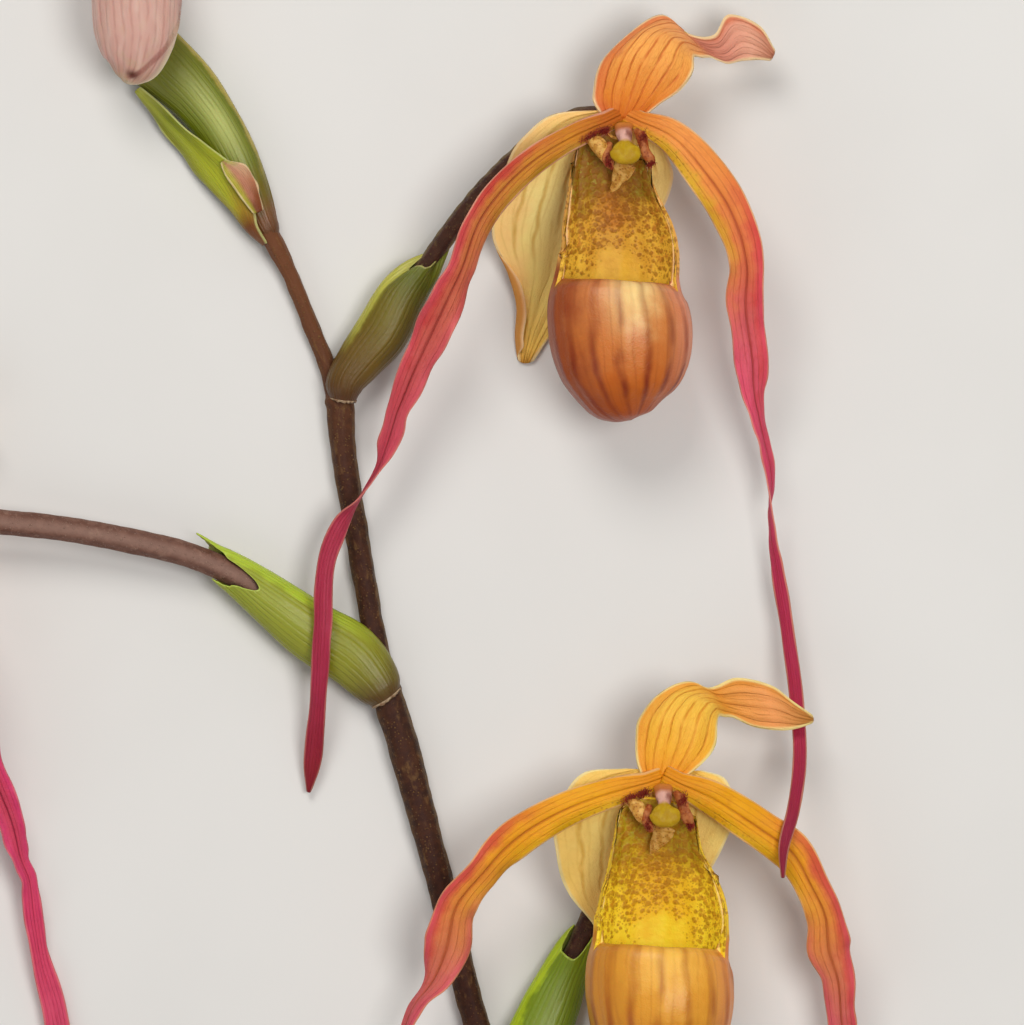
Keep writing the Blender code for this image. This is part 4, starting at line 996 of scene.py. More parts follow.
def sepal_surface(rows, place, ribs, depth, seed):
    """Points of a broad blade through a middle, a left and a right rail, with low ribs."""
    steps, wide = SEPAL_GRID
    flat = [(*middle, *left, *right) for middle, left, right in rows]
    s = np.linspace(0.0, 1.0, steps + 1)[:, None]
    rails = along(flat, s[:, 0], 3)
    middle, left, right = rails[:, None, :3], rails[:, None, 3:6], rails[:, None, 6:9]
    v = np.linspace(-1.0, 1.0, wide + 1)[None, :]
    w = v[..., None]
    points = left * (w * w - w) / 2 + middle * (1 - w * w) + right * (w * w + w) / 2
    width = np.linalg.norm(right - left, axis=-1)
    normals = normals_of(points, False)
    if normals[:20, :, 2].mean() < 0:
        normals = -normals
    swell = depth * np.cos(v * ribs * math.pi) * (1 - v**6) * np.clip(width / 12.0, 0.15, 1.0)
    uneven = 0.28 * bumps(s * 60.0, v * width / 2, seed, 5, 0.15, 0.4) * np.clip(width / 14.0, 0.1, 1.0)
    frill = 0.4 * np.abs(v) ** 5 * bumps(s * 60.0, v * 4.0, seed + 1, 4, 0.25, 0.6) * smooth(s, 0.08, 0.2)
    frill = frill * np.clip(width / 8.0, 0.1, 1.0)
    points = points + normals * (swell + uneven * smooth(s, 0.0, 0.15) + frill)[..., None]
    return points + np.array(place), s, v, width, normals


def sepal(name, node, rows, place, materials, ribs, depth, thickness, seed, roll=0.0):
    """A sepal. With a roll, its left margin curls over its front near the tip."""
    points, s, v, width, normals = sepal_surface(rows, place, ribs, depth, seed)
    margin = width / 2 * (1 - np.abs(v))
    u = (1 + v) / 2
    if roll:
        turns = np.linspace(1.0, 0.0, CURL_COLUMNS)[None, :]
        size = roll * smooth(s, 0.56, 0.7) * (1 - smooth(s, 0.93, 0.99))
        outward = unit(points[:, :1] - points[:, 4:5])
        front = normals[:, :1]
        angle = turns * math.pi * 1.15
        curl = outward * (size * np.sin(angle))[..., None] + front * (size * (1 - np.cos(angle)))[..., None]
        curl = curl - outward * (0.02 + 0.9 * size * turns**2)[..., None] * (turns > 0.5)[..., None]
        points = points - outward * size[..., None] * np.clip(1 - (v + 1) * 3.0, 0.0, 1.0)[..., None]
        points = np.concatenate([points[:, :1] + curl, points[:, 1:]], axis=1)
        columns = turns.shape[1] - 1
        u = np.concatenate([np.zeros((1, columns)), u], axis=1)
        curled = np.broadcast_to(0.25 + 3.0 * (1 - turns[:, :-1]), (len(s), columns))
        margin = np.concatenate([curled, margin * np.ones_like(s)], axis=1)
        v = np.concatenate([np.full((1, columns), -1.0), v], axis=1)
    thick = (thickness - 0.3 * np.abs(v) ** 5) * np.ones_like(s)
    patches = blade_patches(points, thick, (u, s), (margin, 0.0), kinds=(0, 1))
    return build(name, patches, materials, [node])


def closed_columns(values):
    return np.concatenate([values, values[:, :1]], axis=1)


def turn_map(angles):
    return np.concatenate([angles, angles[:, :1] + 2 * math.pi], axis=1) / (2 * math.pi)


def ring_maps(angles, shares, margin=None):
    """Both maps of a closed surface, whose margin is given in millimetres where it has one."""
    edge = NO_MARGIN if margin is None else closed_columns(margin)
    return (turn_map(angles), closed_columns(shares)), (edge, 0.0)


def pouch(name, node, rows, place, materials, seed):
    """The slipper: a bulb with a rolled front rim, and the speckled throat above it."""
    steps, sides = LIP_GRID
    turns = np.arange(sides) * 2 * math.pi / sides
    front = front_share(turns)[None, :]
    reach = 1.0 + (LIP_FRONT_REACH - 1.0) * front
    s, angles = np.meshgrid(np.linspace(0.0, 1.0, steps + 1), turns, indexing="ij")
    shares = s * reach
    points = ring_points(rows, shares, angles, place)
    to_rim = (1 - s) * reach * length_of(rows, 3)
    normals = outward_normals(points)
    ribs = 0.12 * np.cos(angles * 16.0 + 0.8 * np.sin(angles * 5.0))
    ribs = ribs + 0.15 * bumps(angles * 14, s * 60, seed, 6, 0.12, 0.4)
    ribs = ribs * smooth(s, 0.12, 0.45) * smooth(to_rim, 0.0, 4.0)
    curl = np.clip(1 - to_rim / 3.4, 0.0, 1.0) ** 2
    wave = 0.25 * bumps(angles * 5.0, s * 0.0, seed + 4, 4, 0.8, 1.6) * curl
    rolled = curl * (-1.9 * front + 0.2 * (1 - front)) + wave
    points = points + normals * (ribs + rolled)[..., None]
    depth = along(rows, shares, 5)[..., 4]
    lift = 0.58 * depth * smooth(-np.sin(angles), -0.42, 0.4) * smooth(shares, 0.3, 0.56)
    thickness = 0.9 - 0.45 * smooth(to_rim, 3.0, 0.2) * np.ones_like(s)
    maps = ring_maps(angles, shares, to_rim)
    patches = wall_patches(points, thickness, *maps, (0, 1), lift)
    return build(name, patches, materials, [node])


def rod(rows, place, grid):
    """Points round a rod through its rows, with the share and the turn of each."""
    steps, sides = grid
    rows = [(*row, row[3]) if len(row) == 4 else row for row in rows]
    shares, angles = np.meshgrid(
        np.linspace(0.0, 1.0, steps + 1), np.arange(sides) * 2 * math.pi / sides, indexing="ij"
    )
    return ring_points(rows, shares, angles, place), shares, angles


def stalk(name, node, rows, material, seed, ribs):
    """A stalk and ovary, with shallow ribs and an uneven skin."""
    points, shares, angles = rod(rows, (0, 0, 0), STALK_GRID)
    normals = from_axis(points)
    length = length_of(rows, 3)
    relief = 0.11 * np.cos(angles * ribs) + 0.07 * bumps(angles * 2.5, shares * length, seed, 8, 0.5, 2.2)
    points = points + normals * relief[..., None]
    patches = tube_patches(points, *ring_maps(angles, shares))
    return build(name, patches, [material], [node])


def stem_rows():
    """Stem rows with the height of the centre, so that the underside lies on the surface."""
    rows = []
    for x, y, radius in STEM:
        lift = STEM_LIFT * np.clip((y - NODE_Y) / LIFT_LENGTH, 0.0, 1.0)
        rows.append((x, y, radius + lift, radius))
    return rows


def main_stem(materials):
    """The stem, with raised nodes and a cut foot."""
    rows = stem_rows()
    points, shares, angles = rod(rows, (0, 0, 0), STEM_GRID)
    normals = from_axis(points)
    length = length_of(rows, 3)
    relief = 0.12 * bumps(angles * 3.2, shares * length, 3, 10, 0.4, 2.0) + 0.06 * np.cos(angles * 9.0)
    relief = relief * (1 - 0.8 * smooth(np.sin(angles), -0.6, -0.95))
    for place in NODES:
        away = points[..., 1] - place - 1.2 * np.cos(angles)
        relief = relief + 0.3 * np.exp(-((away / 0.8) ** 2)) - 0.16 * np.exp(-(((away - 1.7) / 0.9) ** 2))
    points = points + normals * relief[..., None]
    patches = tube_patches(points, *ring_maps(angles, shares), caps=(False, True))
    foot = points[0]
    middle = foot.mean(axis=0)
    rings = np.linspace(1.0, 0.0, 9)[:, None, None]
    inward = unit((points[1] - points[0]).mean(axis=0))
    face = middle + (foot - middle) * rings + inward * (0.25 * np.sin(rings * 9.0) * rings * (1 - rings))
    patches.append(patch(face, (0.5, rings[:, 0]), (NO_MARGIN, 0.0), 1, True))
    return build("spike_stem", patches, materials, ["main_stem"])


def bract(name, node, rows, table, materials, seed, hug, scar=True):
    """A sheath rolled round its stalk, with fine ribs, a thin slanting mouth and a scar at its foot.

    The hug draws the sides of its mouth in to the stalk, in millimetres.
    """
    steps, sides = SHEATH_GRID
    turns = np.arange(sides) * 2 * math.pi / sides
    s, angles = np.meshgrid(np.linspace(0.0, 1.0, steps + 1), turns, indexing="ij")
    reach = reach_at(table, turns)[None, :]
    shares = s * reach
    points = ring_points(rows, shares, angles, (0, 0, 0))
    normals = outward_normals(points)
    length = length_of(rows, 3)
    to_rim = (1 - s) * reach * length
    from_foot = shares * length
    relief = 0.05 * np.cos(angles * 26.0) + 0.18 * bumps(angles * 4, from_foot, seed, 6, 0.15, 0.5)
    drawn_in = -hug * np.clip(1 - to_rim / 11.0, 0.0, 1.0) ** 2 * smooth(np.abs(np.cos(angles)), 0.2, 0.8)
    foot = -0.75 * (1 - smooth(from_foot, 0.0, 3.5))
    points = points + normals * (relief * smooth(s, 0.0, 0.1) + drawn_in + foot)[..., None]
    thickness = 0.75 - 0.42 * smooth(to_rim, 4.0, 0.2) * np.ones_like(s)
    maps = ring_maps(angles, shares, to_rim)
    patches = wall_patches(points, thickness, *maps, (0, 1))
    if scar:
        patches += torn_scar(points, normals, seed)
    return build(name, patches, materials, [node])


def torn_scar(points, normals, seed):
    """A papery ragged ring that an older sheath left just below the foot."""
    sides = points.shape[1]
    draw = np.random.default_rng(seed)
    knots = draw.uniform(0.0, 1.0, SCAR_KNOTS) ** 2
    round_it = np.arange(sides) / sides
    ragged = np.interp(round_it * SCAR_KNOTS, np.arange(SCAR_KNOTS + 1), np.append(knots, knots[0]))
    ragged = ragged + 0.4 * bumps(round_it * 20.0, 0.0, seed, 3, 0.6, 1.2)
    way = unit((points[0] - points[3]).mean(axis=0))
    high = np.linspace(0.0, 1.0, 6)[:, None]
    ring = points[1] + normals[1] * 0.12
    collar = ring[None] + way * (high * (0.4 + 0.5 * ragged[None, :]))[..., None]
    collar = collar + normals[1][None] * (0.12 * np.sin(high * 2.6) - 0.25 * high)[..., None]
    low = collar - normals[1][None] * 0.22
    strip = np.concatenate([collar, low[::-1], collar[:1]])
    return [patch(strip, (0.5, 0.0), (0.0, 0.0), 2, True)]


def nodding_bud(material):
    """The closed bud, with low ribs, and a lapped margin where its sepals meet."""
    points, shares, angles = rod(BUD, (0, 0, 0), BUD_GRID)
    normals = from_axis(points)
    relief = 0.1 * np.cos(angles * 13.0) * smooth(shares, 0.02, 0.2) * (1 - smooth(shares, 0.8, 0.95))
    relief = relief + 0.15 * bumps(angles * 5, shares * 45, 5, 5, 0.1, 0.3) * smooth(shares, 0.02, 0.1)
    seam_turn = np.minimum(BUD_SEAM_TURN + BUD_SEAM_SLANT * (0.9 - shares), 3.3)
    away = (angles - seam_turn + math.pi) % (2 * math.pi) - math.pi
    lap = np.where(away > 0, 0.55 * np.exp(-away * 3.5), -0.12 * np.exp(away * 6.0))
    relief = relief + lap * smooth(shares, 0.1, 0.35) * (1 - smooth(shares, 0.95, 1.0))
    points = points + normals * relief[..., None]
    seam = np.abs(away) * 9.0
    maps = ring_maps(angles, shares, seam)
    return build("nodding_bud", tube_patches(points, *maps), [material], ["bud"])


def lobe(rows, place, kind, seed):
    """A small fleshy fold beside the column."""
    points, shares, angles = rod(rows, place, FOLD_GRID)
    normals = from_axis(points)
    rough = 0.22 * bumps(angles * 2.0, shares * 9.0, seed, 6, 0.6, 2.0) * smooth(shares, 0.0, 0.2)
    points = points + normals * (rough * (1 - smooth(shares, 0.85, 1.0)))[..., None]
    return tube_patches(points, *ring_maps(angles, shares), kind)


def shield_column(name, node, place, materials, seed):
    """The column, with the broad shield at its end and the fleshy folds round it."""
    points, shares, angles = rod(FINE_COLUMN, place, COLUMN_GRID)
    normals = from_axis(points)
    shield = smooth(shares, 0.5, 0.62)
    dip = np.exp(-(((angles - math.pi / 2) / 0.3) ** 2))
    groove = -0.5 * shield * dip * (1 - smooth(shares, 0.75, 0.92))
    relief = groove + 0.09 * bumps(angles * 3, shares * 14, seed, 6, 0.6, 2.0)
    points = points + normals * relief[..., None]
    patches = tube_patches(points, *ring_maps(angles, shares))
    for k, (rows, kind) in enumerate(FOLDS):
        patches += lobe(rows, place, kind, seed + k)
    return build(name, patches, materials, [node])


def cones(name, roots, ways, lengths, radius, material):
    """Many fine hairs, each a three-sided cone that bends a little, in one piece."""
    count = len(roots)
    side = unit(np.cross(ways, [0.3, 0.5, 0.8]))
    other = np.cross(ways, side)
    bend = unit(side * 0.7 + other * 0.2)
    rings = []
    for share, size in ((-0.1, 1.0), (0.5, 0.7)):
        sag = lengths * 0.12 * max(share, 0.0)
        middle = roots + ways * (lengths * share)[:, None] + bend * sag[:, None]
        for turn in HAIR_SIDES:
            rings.append(middle + (side * math.cos(turn) + other * math.sin(turn)) * radius * size)
    rings.append(roots + ways * lengths[:, None] + bend * (lengths * 0.35)[:, None])
    flat = (np.stack(rings, axis=1).reshape(-1, 3) - LAYOUT_CENTRE) * MM
    faces = []
    for k in range(3):
        after = (k + 1) % 3
        faces += [(k, after, after + 3, k + 3), (k + 3, after + 3, 6)]
    faces.append((2, 1, 0))
    faces = [tuple(base + corner for corner in face) for base in range(0, count * 7, 7) for face in faces]
    mesh = bpy.data.meshes.new(name)
    mesh.from_pydata(flat, [], faces)
    mesh.shade_smooth()
    mesh.materials.append(material)
    piece = bpy.data.objects.new(name, mesh)
    bpy.context.scene.collection.objects.link(piece)
    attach(piece, "root")
    return piece


def throat_hairs(number, place, material, seed):
    """Dark red tufts on both sides of the shield and along the petals' feet."""
    draw = np.random.default_rng(seed)
    roots, ways = [], []
    for x, y, z, wide, tall, turn in TUFTS:
        spread = draw.normal(0, 0.45, (TUFT_HAIRS, 2)) * [wide, tall]
        lean = math.radians(turn)
        shift = np.stack([
            spread[:, 0] * math.cos(lean) - spread[:, 1] * math.sin(lean),
            spread[:, 0] * math.sin(lean) + spread[:, 1] * math.cos(lean),
            draw.normal(0, 0.3, TUFT_HAIRS),
        ], axis=1)
        roots.append(np.array([x, y, z]) + shift)
        ways.append(unit(np.array([0.0, -0.6, 0.7]) + draw.normal(0, 0.35, (TUFT_HAIRS, 3))))
    roots = np.concatenate(roots) + np.array(place)
    lengths = draw.uniform(0.7, 1.6, len(roots))
    ways = np.concatenate(ways)
    return cones(f"throat_hairs_{number}", roots, ways, lengths, HAIR_RADIUS, material)


# The materials, by flower: the first is orange and red, and the second more yellow.
LEFT_STOPS_1 = ((0.0, (0.56, 0.14, 0.01)), (0.06, (0.64, 0.24, 0.01)), (0.14, (0.6, 0.23, 0.015)),
                (0.22, (0.6, 0.18, 0.04)), (0.3, (0.62, 0.14, 0.07)), (0.38, (0.62, 0.11, 0.09)),
                (0.46, (0.6, 0.08, 0.1)), (0.54, (0.54, 0.05, 0.09)), (0.62, (0.44, 0.03, 0.07)),
                (0.85, (0.42, 0.025, 0.07)), (1.0, (0.26, 0.012, 0.02)))
RIGHT_STOPS_1 = ((0.0, (0.8, 0.25, 0.03)), (0.05, (0.92, 0.34, 0.07)), (0.14, (0.84, 0.26, 0.05)),
                 (0.2, (0.78, 0.2, 0.06)), (0.25, (0.72, 0.15, 0.08)), (0.3, (0.74, 0.13, 0.14)),
                 (0.36, (0.8, 0.12, 0.18)), (0.43, (0.68, 0.06, 0.13)), (0.5, (0.58, 0.035, 0.11)),
                 (0.6, (0.48, 0.022, 0.08)), (0.8, (0.44, 0.02, 0.07)), (1.0, (0.26, 0.012, 0.04)))
STOPS_2 = ((0.0, (0.82, 0.3, 0.006)), (0.06, (0.9, 0.4, 0.006)), (0.18, (0.88, 0.36, 0.012)),
           (0.26, (0.8, 0.27, 0.05)), (0.32, (0.72, 0.2, 0.1)), (0.38, (0.66, 0.13, 0.13)),
           (0.46, (0.6, 0.07, 0.12)), (0.6, (0.5, 0.03, 0.09)), (1.0, (0.3, 0.015, 0.04)))
STOPS_3 = ((0.0, (0.66, 0.22, 0.03)), (0.16, (0.72, 0.26, 0.05)), (0.3, (0.66, 0.16, 0.1)),
           (0.42, (0.66, 0.07, 0.12)), (0.6, (0.7, 0.05, 0.13)), (0.8, (0.68, 0.08, 0.16)),
           (1.0, (0.4, 0.03, 0.08)))
DORSAL_STOPS_1 = ((0.0, (0.66, 0.15, 0.01)), (0.1, (0.8, 0.24, 0.02)), (0.34, (1.0, 0.44, 0.09)),
                  (0.52, (0.88, 0.38, 0.14)), (0.64, (0.66, 0.22, 0.14)), (0.74, (0.74, 0.28, 0.19)),
                  (0.88, (0.86, 0.42, 0.28)), (1.0, (0.56, 0.2, 0.11)))
DORSAL_STOPS_2 = ((0.0, (0.88, 0.3, 0.012)), (0.14, (0.96, 0.46, 0.03)), (0.4, (1.0, 0.6, 0.08)),
                  (0.58, (0.88, 0.36, 0.05)), (0.8, (0.94, 0.38, 0.12)), (1.0, (0.52, 0.2, 0.03)))
SYNSEPAL_STOPS_1 = ((0.0, (1.0, 0.62, 0.12)), (0.14, (1.0, 0.78, 0.26)), (0.4, (1.0, 0.82, 0.3)),
                    (0.8, (1.0, 0.74, 0.2)), (0.95, (0.98, 0.62, 0.12)), (1.0, (0.6, 0.26, 0.03)))
SYNSEPAL_STOPS_2 = ((0.0, (1.0, 0.6, 0.1)), (0.2, (1.0, 0.78, 0.24)), (0.8, (1.0, 0.76, 0.24)),
                    (1.0, (0.66, 0.36, 0.06)))
BULB_STOPS_1 = ((0.0, (0.36, 0.055, 0.003)), (0.1, (0.44, 0.075, 0.005)), (0.24, (0.56, 0.13, 0.012)),
                (0.38, (0.64, 0.2, 0.04)), (0.54, (0.68, 0.25, 0.08)), (1.0, (0.76, 0.34, 0.12)))
BULB_STOPS_2 = ((0.0, (0.46, 0.11, 0.004)), (0.12, (0.52, 0.15, 0.006)), (0.28, (0.64, 0.23, 0.012)),
                (0.4, (0.8, 0.35, 0.03)), (0.54, (0.86, 0.4, 0.05)), (1.0, (0.92, 0.48, 0.08)))

RED_EDGE = (0.56, 0.035, 0.035)
OLIVE = (0.36, 0.2, 0.008)
CREAM = (1.0, 0.78, 0.42)

left_petal_1 = petal_paint("petal_left_orange", LEFT_STOPS_1, RED_EDGE, OLIVE, (0.3, 0.025, 0.02), 0.04,
                           (0.9, 0.46, 0.3), (0.72, 0.1, 0.14))
right_petal_1 = petal_paint("petal_right_orange", RIGHT_STOPS_1, (0.7, 0.06, 0.05), (0.7, 0.44, 0.015),
                            (0.4, 0.04, 0.02), 0.1, (1.0, 0.66, 0.34), (0.84, 0.09, 0.18))
petal_2 = petal_paint("petal_yellow", STOPS_2, (0.66, 0.07, 0.04), (0.66, 0.38, 0.004),
                      (0.42, 0.07, 0.012), 0.09, (1.0, 0.62, 0.26), (0.7, 0.08, 0.14))
petal_3 = petal_paint("petal_crimson", STOPS_3, (0.62, 0.03, 0.09), (0.5, 0.22, 0.01), (0.36, 0.02, 0.05),
                      0.05, (0.9, 0.4, 0.3), (0.74, 0.05, 0.2))
dorsal_1 = sepal_paint("dorsal_orange", DORSAL_STOPS_1, (0.62, 0.11, 0.012), (0.74, 0.16, 0.05), 8.0, 0.8,
                       CREAM, 0.16)
dorsal_2 = sepal_paint("dorsal_yellow", DORSAL_STOPS_2, (0.7, 0.2, 0.006), (0.9, 0.34, 0.04), 7.0, 0.7,
                       (1.0, 0.84, 0.34), 0.12)
synsepal_1 = sepal_paint("synsepal_pale", SYNSEPAL_STOPS_1, (0.62, 0.34, 0.04), (1.0, 0.6, 0.22), 8.0,
                         0.72, CREAM, 0.05)
synsepal_2 = sepal_paint("synsepal_gold", SYNSEPAL_STOPS_2, (0.66, 0.36, 0.03), (1.0, 0.66, 0.16), 8.0,
                         0.66, (1.0, 0.86, 0.42), 0.08)
sepal_back = sepal_paint("sepal_back", ((0.0, (0.66, 0.3, 0.04)), (1.0, (0.7, 0.32, 0.05))),
                         (0.42, 0.14, 0.01), (0.64, 0.28, 0.07), 9.0, 0.6, (0.94, 0.66, 0.36), 0.2)
bulb_1 = bulb_paint("bulb_terracotta", BULB_STOPS_1, (1.0, 0.7, 0.28), (0.86, 0.3, 0.16),
                    (0.22, 0.022, 0.003), (0.32, 0.05, 0.006), (0.52, 0.14, 0.05), (0.9, 0.48, 0.1),
                    0.205)
bulb_2 = bulb_paint("bulb_amber", BULB_STOPS_2, (1.0, 0.56, 0.09), (0.8, 0.26, 0.07), (0.34, 0.06, 0.003),
                    (0.62, 0.24, 0.02), (0.86, 0.44, 0.08), (1.0, 0.66, 0.04), 0.23)
throat_1 = throat_paint("throat_olive", (0.3, 0.17, 0.005), (0.72, 0.36, 0.03), (0.92, 0.54, 0.05),
                        (0.28, 0.085, 0.003), (0.56, 0.17, 0.02), (1.0, 0.6, 0.3))
throat_2 = throat_paint("throat_gold", (0.48, 0.31, 0.006), (0.92, 0.54, 0.012), (1.0, 0.74, 0.03),
                        (0.4, 0.14, 0.003), (0.72, 0.32, 0.015), (1.0, 0.7, 0.22))
column_skin = column_paint("column_green", (0.44, 0.25, 0.003), (0.78, 0.44, 0.36), (0.22, 0.05, 0.03))
fold_tan = fold_paint("fold_tan", (0.56, 0.26, 0.04), (0.32, 0.09, 0.01), (0.8, 0.46, 0.12))
fold_red = fold_paint("fold_red", (0.36, 0.085, 0.015), (0.22, 0.03, 0.008), (0.5, 0.17, 0.05))
hair_red = plain_paint("hair_red", (0.26, 0.012, 0.006), (0.38, 0.03, 0.012), 0.8, 0.5, 0.02)
stem_skin = stem_paint("stem_mottled", (0.032, 0.009, 0.003), (0.07, 0.023, 0.007), (0.24, 0.125, 0.04),
                       (0.052, 0.015, 0.01), (0.17, 0.095, 0.022), (0.2, 0.07, 0.026))
scar_paper = plain_paint("scar_paper", (0.42, 0.31, 0.19), (0.22, 0.12, 0.06), 0.9, 0.7, 0.08)
cut_tissue = plain_paint("cut_tissue", (0.42, 0.44, 0.16), (0.58, 0.56, 0.28), 1.4, 0.5, 0.08)
stalk_dark = stem_paint("stalk_purple", (0.05, 0.014, 0.01), (0.085, 0.028, 0.016), (0.22, 0.14, 0.05),
                        (0.085, 0.04, 0.022), (0.3, 0.24, 0.1), (0.1, 0.045, 0.02))
stalk_mauve = stem_paint("stalk_mauve", (0.13, 0.05, 0.032), (0.19, 0.085, 0.058), (0.36, 0.22, 0.16),
                         (0.34, 0.21, 0.165), (0.2, 0.095, 0.06), (0.2, 0.09, 0.06))
bract_1_skin = bract_paint("bract_olive",
                           ((0.0, (0.1, 0.038, 0.006)), (0.25, (0.15, 0.085, 0.006)),
                            (0.55, (0.16, 0.125, 0.006)), (0.72, (0.13, 0.15, 0.006)),
                            (1.0, (0.26, 0.32, 0.02))), (0.52, 0.5, 0.07), (0.09, 0.06, 0.005), 0.36, 0.7,
                           (0.66, 0.62, 0.22), 0.1)
bract_2_skin = bract_paint("bract_lime",
                           ((0.0, (0.12, 0.075, 0.005)), (0.22, (0.26, 0.26, 0.015)),
                            (0.6, (0.29, 0.32, 0.018)), (1.0, (0.36, 0.44, 0.03))), (0.46, 0.6, 0.04),
                           (0.15, 0.16, 0.01), -0.2, 0.16, (0.56, 0.7, 0.12), 0.2)
bract_3_skin = bract_paint("bract_bright",
                           ((0.0, (0.11, 0.11, 0.005)), (0.25, (0.15, 0.21, 0.005)),
                            (0.7, (0.19, 0.28, 0.006)), (1.0, (0.34, 0.46, 0.015))), (0.46, 0.61, 0.015),
                           (0.11, 0.15, 0.004), 0.36, 0.66, (0.56, 0.72, 0.08), 0.2)
bract_top_skin = bract_paint("bract_top",
                             ((0.0, (0.22, 0.085, 0.036)), (0.1, (0.2, 0.075, 0.02)),
                              (0.2, (0.17, 0.12, 0.01)), (0.34, (0.15, 0.17, 0.005)),
                              (0.6, (0.15, 0.18, 0.005)), (1.0, (0.16, 0.15, 0.01))), (0.46, 0.36, 0.06),
                             (0.08, 0.09, 0.004), -0.16, 0.1, (0.5, 0.46, 0.12), 1.0)
bract_inside = bract_paint("bract_inside", ((0.0, (0.3, 0.34, 0.04)), (1.0, (0.46, 0.52, 0.09))),
                           (0.5, 0.56, 0.1), (0.28, 0.3, 0.03), 0.0, 1.0, (0.66, 0.7, 0.24))
side_leaf = leaf_paint("side_leaf",
                       ((0.0, (0.22, 0.085, 0.036)), (0.12, (0.2, 0.055, 0.012)),
                        (0.22, (0.38, 0.24, 0.02)), (0.4, (0.36, 0.38, 0.02)), (0.8, (0.18, 0.21, 0.008)),
                        (1.0, (0.5, 0.5, 0.08))), (0.5, 0.54, 0.03), (0.24, 0.22, 0.01),
                       (0.6, 0.62, 0.24), (0.3, 0.3, 0.01), 0.5)
pink_leaf = leaf_paint("pink_leaf",
                       ((0.0, (0.2, 0.05, 0.015)), (0.25, (0.26, 0.07, 0.02)), (0.5, (0.46, 0.18, 0.09)),
                        (0.8, (0.62, 0.38, 0.22)), (1.0, (0.44, 0.46, 0.06))), (0.5, 0.2, 0.12),
                       (0.3, 0.12, 0.05), (0.86, 0.68, 0.38), (0.46, 0.44, 0.04), 0.9)
bud_skin = bud_paint("bud_pink")

# The pieces.
main_stem([stem_skin, cut_tissue])
skins = {
    1: ((left_petal_1, right_petal_1), dorsal_1, synsepal_1, bulb_1, throat_1, stalk_dark, 0.9),
    2: ((petal_2, petal_2), dorsal_2, synsepal_2, bulb_2, throat_2, stalk_dark, 0.0),
    3: ((petal_3, petal_3), dorsal_1, synsepal_1, bulb_1, throat_1, stalk_mauve, 0.9),
}
for number, (place, left, right, dorsal, synsepal, slipper, ovary) in FLOWERS.items():
    petals, dorsal_skin, synsepal_skin, bulb_skin, throat_skin, stalk_skin, roll = skins[number]
    petal(f"long_petal_left_{number}", left, place, 1, petals[0], 20 + number)
    petal(f"long_petal_right_{number}", right, place, -1, petals[1], 30 + number)
    sepal(f"hood_sepal_{number}", f"dorsal_sepal_{number}", dorsal, place, [dorsal_skin, sepal_back],
          4.0, 0.16, 0.55, 40 + number)
    sepal(f"rear_sepal_{number}", f"synsepal_{number}", synsepal, place, [synsepal_skin, sepal_back],
          5.0, 0.18, 0.55, 50 + number, roll)
    pouch(f"slipper_{number}", f"lip_{number}", slipper, place, [bulb_skin, throat_skin], 60 + number)
    shield_column(f"shield_column_{number}", f"column_{number}", place, [column_skin, fold_tan, fold_red],
                  70 + number)
    throat_hairs(number, place, hair_red, 80 + number)
    neck = [(x + place[0], y + place[1], z + place[2], r) for x, y, z, r in OVARY_NECK]
    stalk(f"ovary_stalk_{number}", f"ovary_{number}", ovary + neck, stalk_skin, 90 + number, 6.0)
bract("sheath_bract_1", "bract_1", BRACT_1, REACH_1, [bract_1_skin, bract_inside, scar_paper], 101, 2.2)
bract("sheath_bract_2", "bract_2", BRACT_2, REACH_2, [bract_2_skin, bract_inside, scar_paper], 102, 0.7)
bract("sheath_bract_3", "bract_3", BRACT_3, REACH_3, [bract_3_skin, bract_inside, scar_paper], 103, 1.4)
bract("sheath_bract_top", "top_bract", [TOP_FOOT, *TOP_BRACT], REACH_TOP, [bract_top_skin, bract_inside],
      104, 0.0, False)
sepal("keeled_bract", "side_bract", [SIDE_FOOT, *SIDE_BRACT], (0, 0, 0), [side_leaf, bract_inside],
      3.0, 0.06, 0.6, 105)
sepal("inner_bract", "small_bract", SMALL_BRACT, (0, 0, 0), [pink_leaf, bract_inside],
      2.0, 0.05, 0.6, 106)
stalk("bud_stalk_rod", "bud_stalk", BUD_STALK, stalk_mauve, 107, 5.0)
nodding_bud(bud_skin)

# Floor, light and camera. The photograph's middle is at the layout's origin.
VIEW_MIDDLE = -LAYOUT_CENTRE * MM
VIEW_SIZE = 0.246
VIEW_DISTANCE = 3.5
VIEW_LEVEL = 0.018
SENSOR_WIDTH = 36.0
# Half the floor's side, and its level at the lowest point of the fine pieces, in metres.
FLOOR_HALF = 4
FLOOR_LEVEL = -0.0003

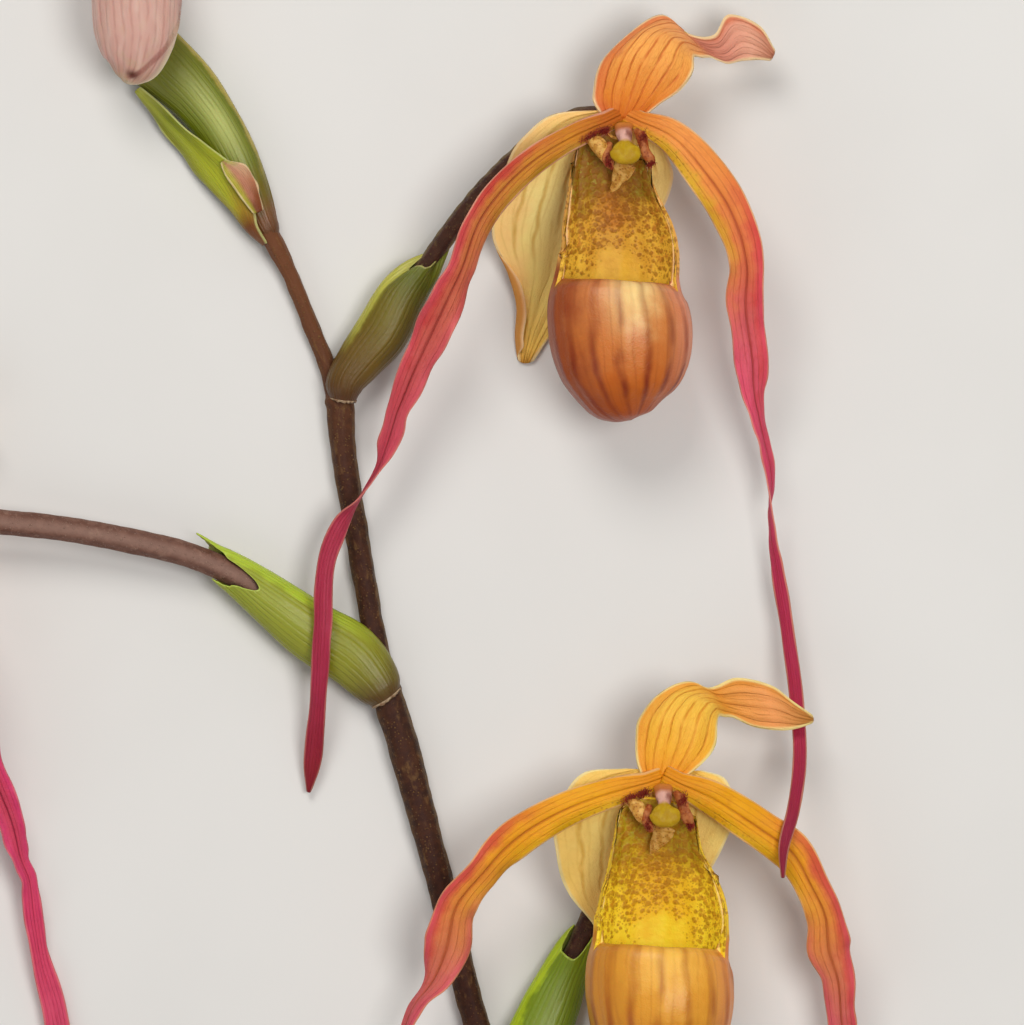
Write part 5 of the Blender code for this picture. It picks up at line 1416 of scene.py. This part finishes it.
floor_mesh = bpy.data.meshes.new("floor")
corners = [(x * FLOOR_HALF, y * FLOOR_HALF, 0) for x, y in ((-1, -1), (1, -1), (1, 1), (-1, 1))]
floor_mesh.from_pydata(corners, [], [(0, 1, 2, 3)])
floor = bpy.data.objects.new("floor", floor_mesh)
floor.location.z = FLOOR_LEVEL
bpy.context.scene.collection.objects.link(floor)
floor_skin = plain_paint("floor_pale", (0.76, 0.75, 0.73), (0.78, 0.77, 0.75), 0.01, 0.8, 0.02)
floor_mesh.materials.append(floor_skin)


def area_light(name, place, size, power, colour):
    """A soft round lamp that shines at the middle of the spike and isn't seen itself."""
    lamp = bpy.data.lights.new(name, "AREA")
    lamp.shape = "DISK"
    lamp.size = size
    lamp.energy = power
    lamp.color = colour
    thing = bpy.data.objects.new(name, lamp)
    thing.location = place
    x, y, z = -np.array(place) / np.linalg.norm(place)
    thing.rotation_euler = (math.acos(-z), 0.0, math.atan2(-x, y))
    thing.visible_camera = False
    bpy.context.scene.collection.objects.link(thing)


area_light("key", (-0.25, 0.95, 1.15), 0.7, 8.6, (1.0, 0.97, 0.93))
area_light("fill", (0.5, 0.05, 1.3), 0.6, 8.2, (1.0, 0.98, 0.95))
area_light("low_fill", (-0.8, -0.8, 0.9), 1.0, 2.1, (1.0, 0.98, 0.96))
world = bpy.data.worlds.new("studio")
world.use_nodes = True
sky = world.node_tree.nodes["Background"]
sky.inputs["Color"].default_value = (1.0, 1.0, 1.0, 1.0)
sky.inputs["Strength"].default_value = 0.25
bpy.context.scene.world = world
bpy.context.scene.view_settings.view_transform = "Standard"

lens = bpy.data.cameras.new("camera")
lens.sensor_width = SENSOR_WIDTH
lens.lens = SENSOR_WIDTH * (VIEW_DISTANCE - VIEW_LEVEL) / VIEW_SIZE
lens.clip_end = 20.0
camera = bpy.data.objects.new("camera", lens)
camera.location = (VIEW_MIDDLE[0], VIEW_MIDDLE[1], VIEW_DISTANCE)
bpy.context.scene.collection.objects.link(camera)
bpy.context.scene.camera = camera
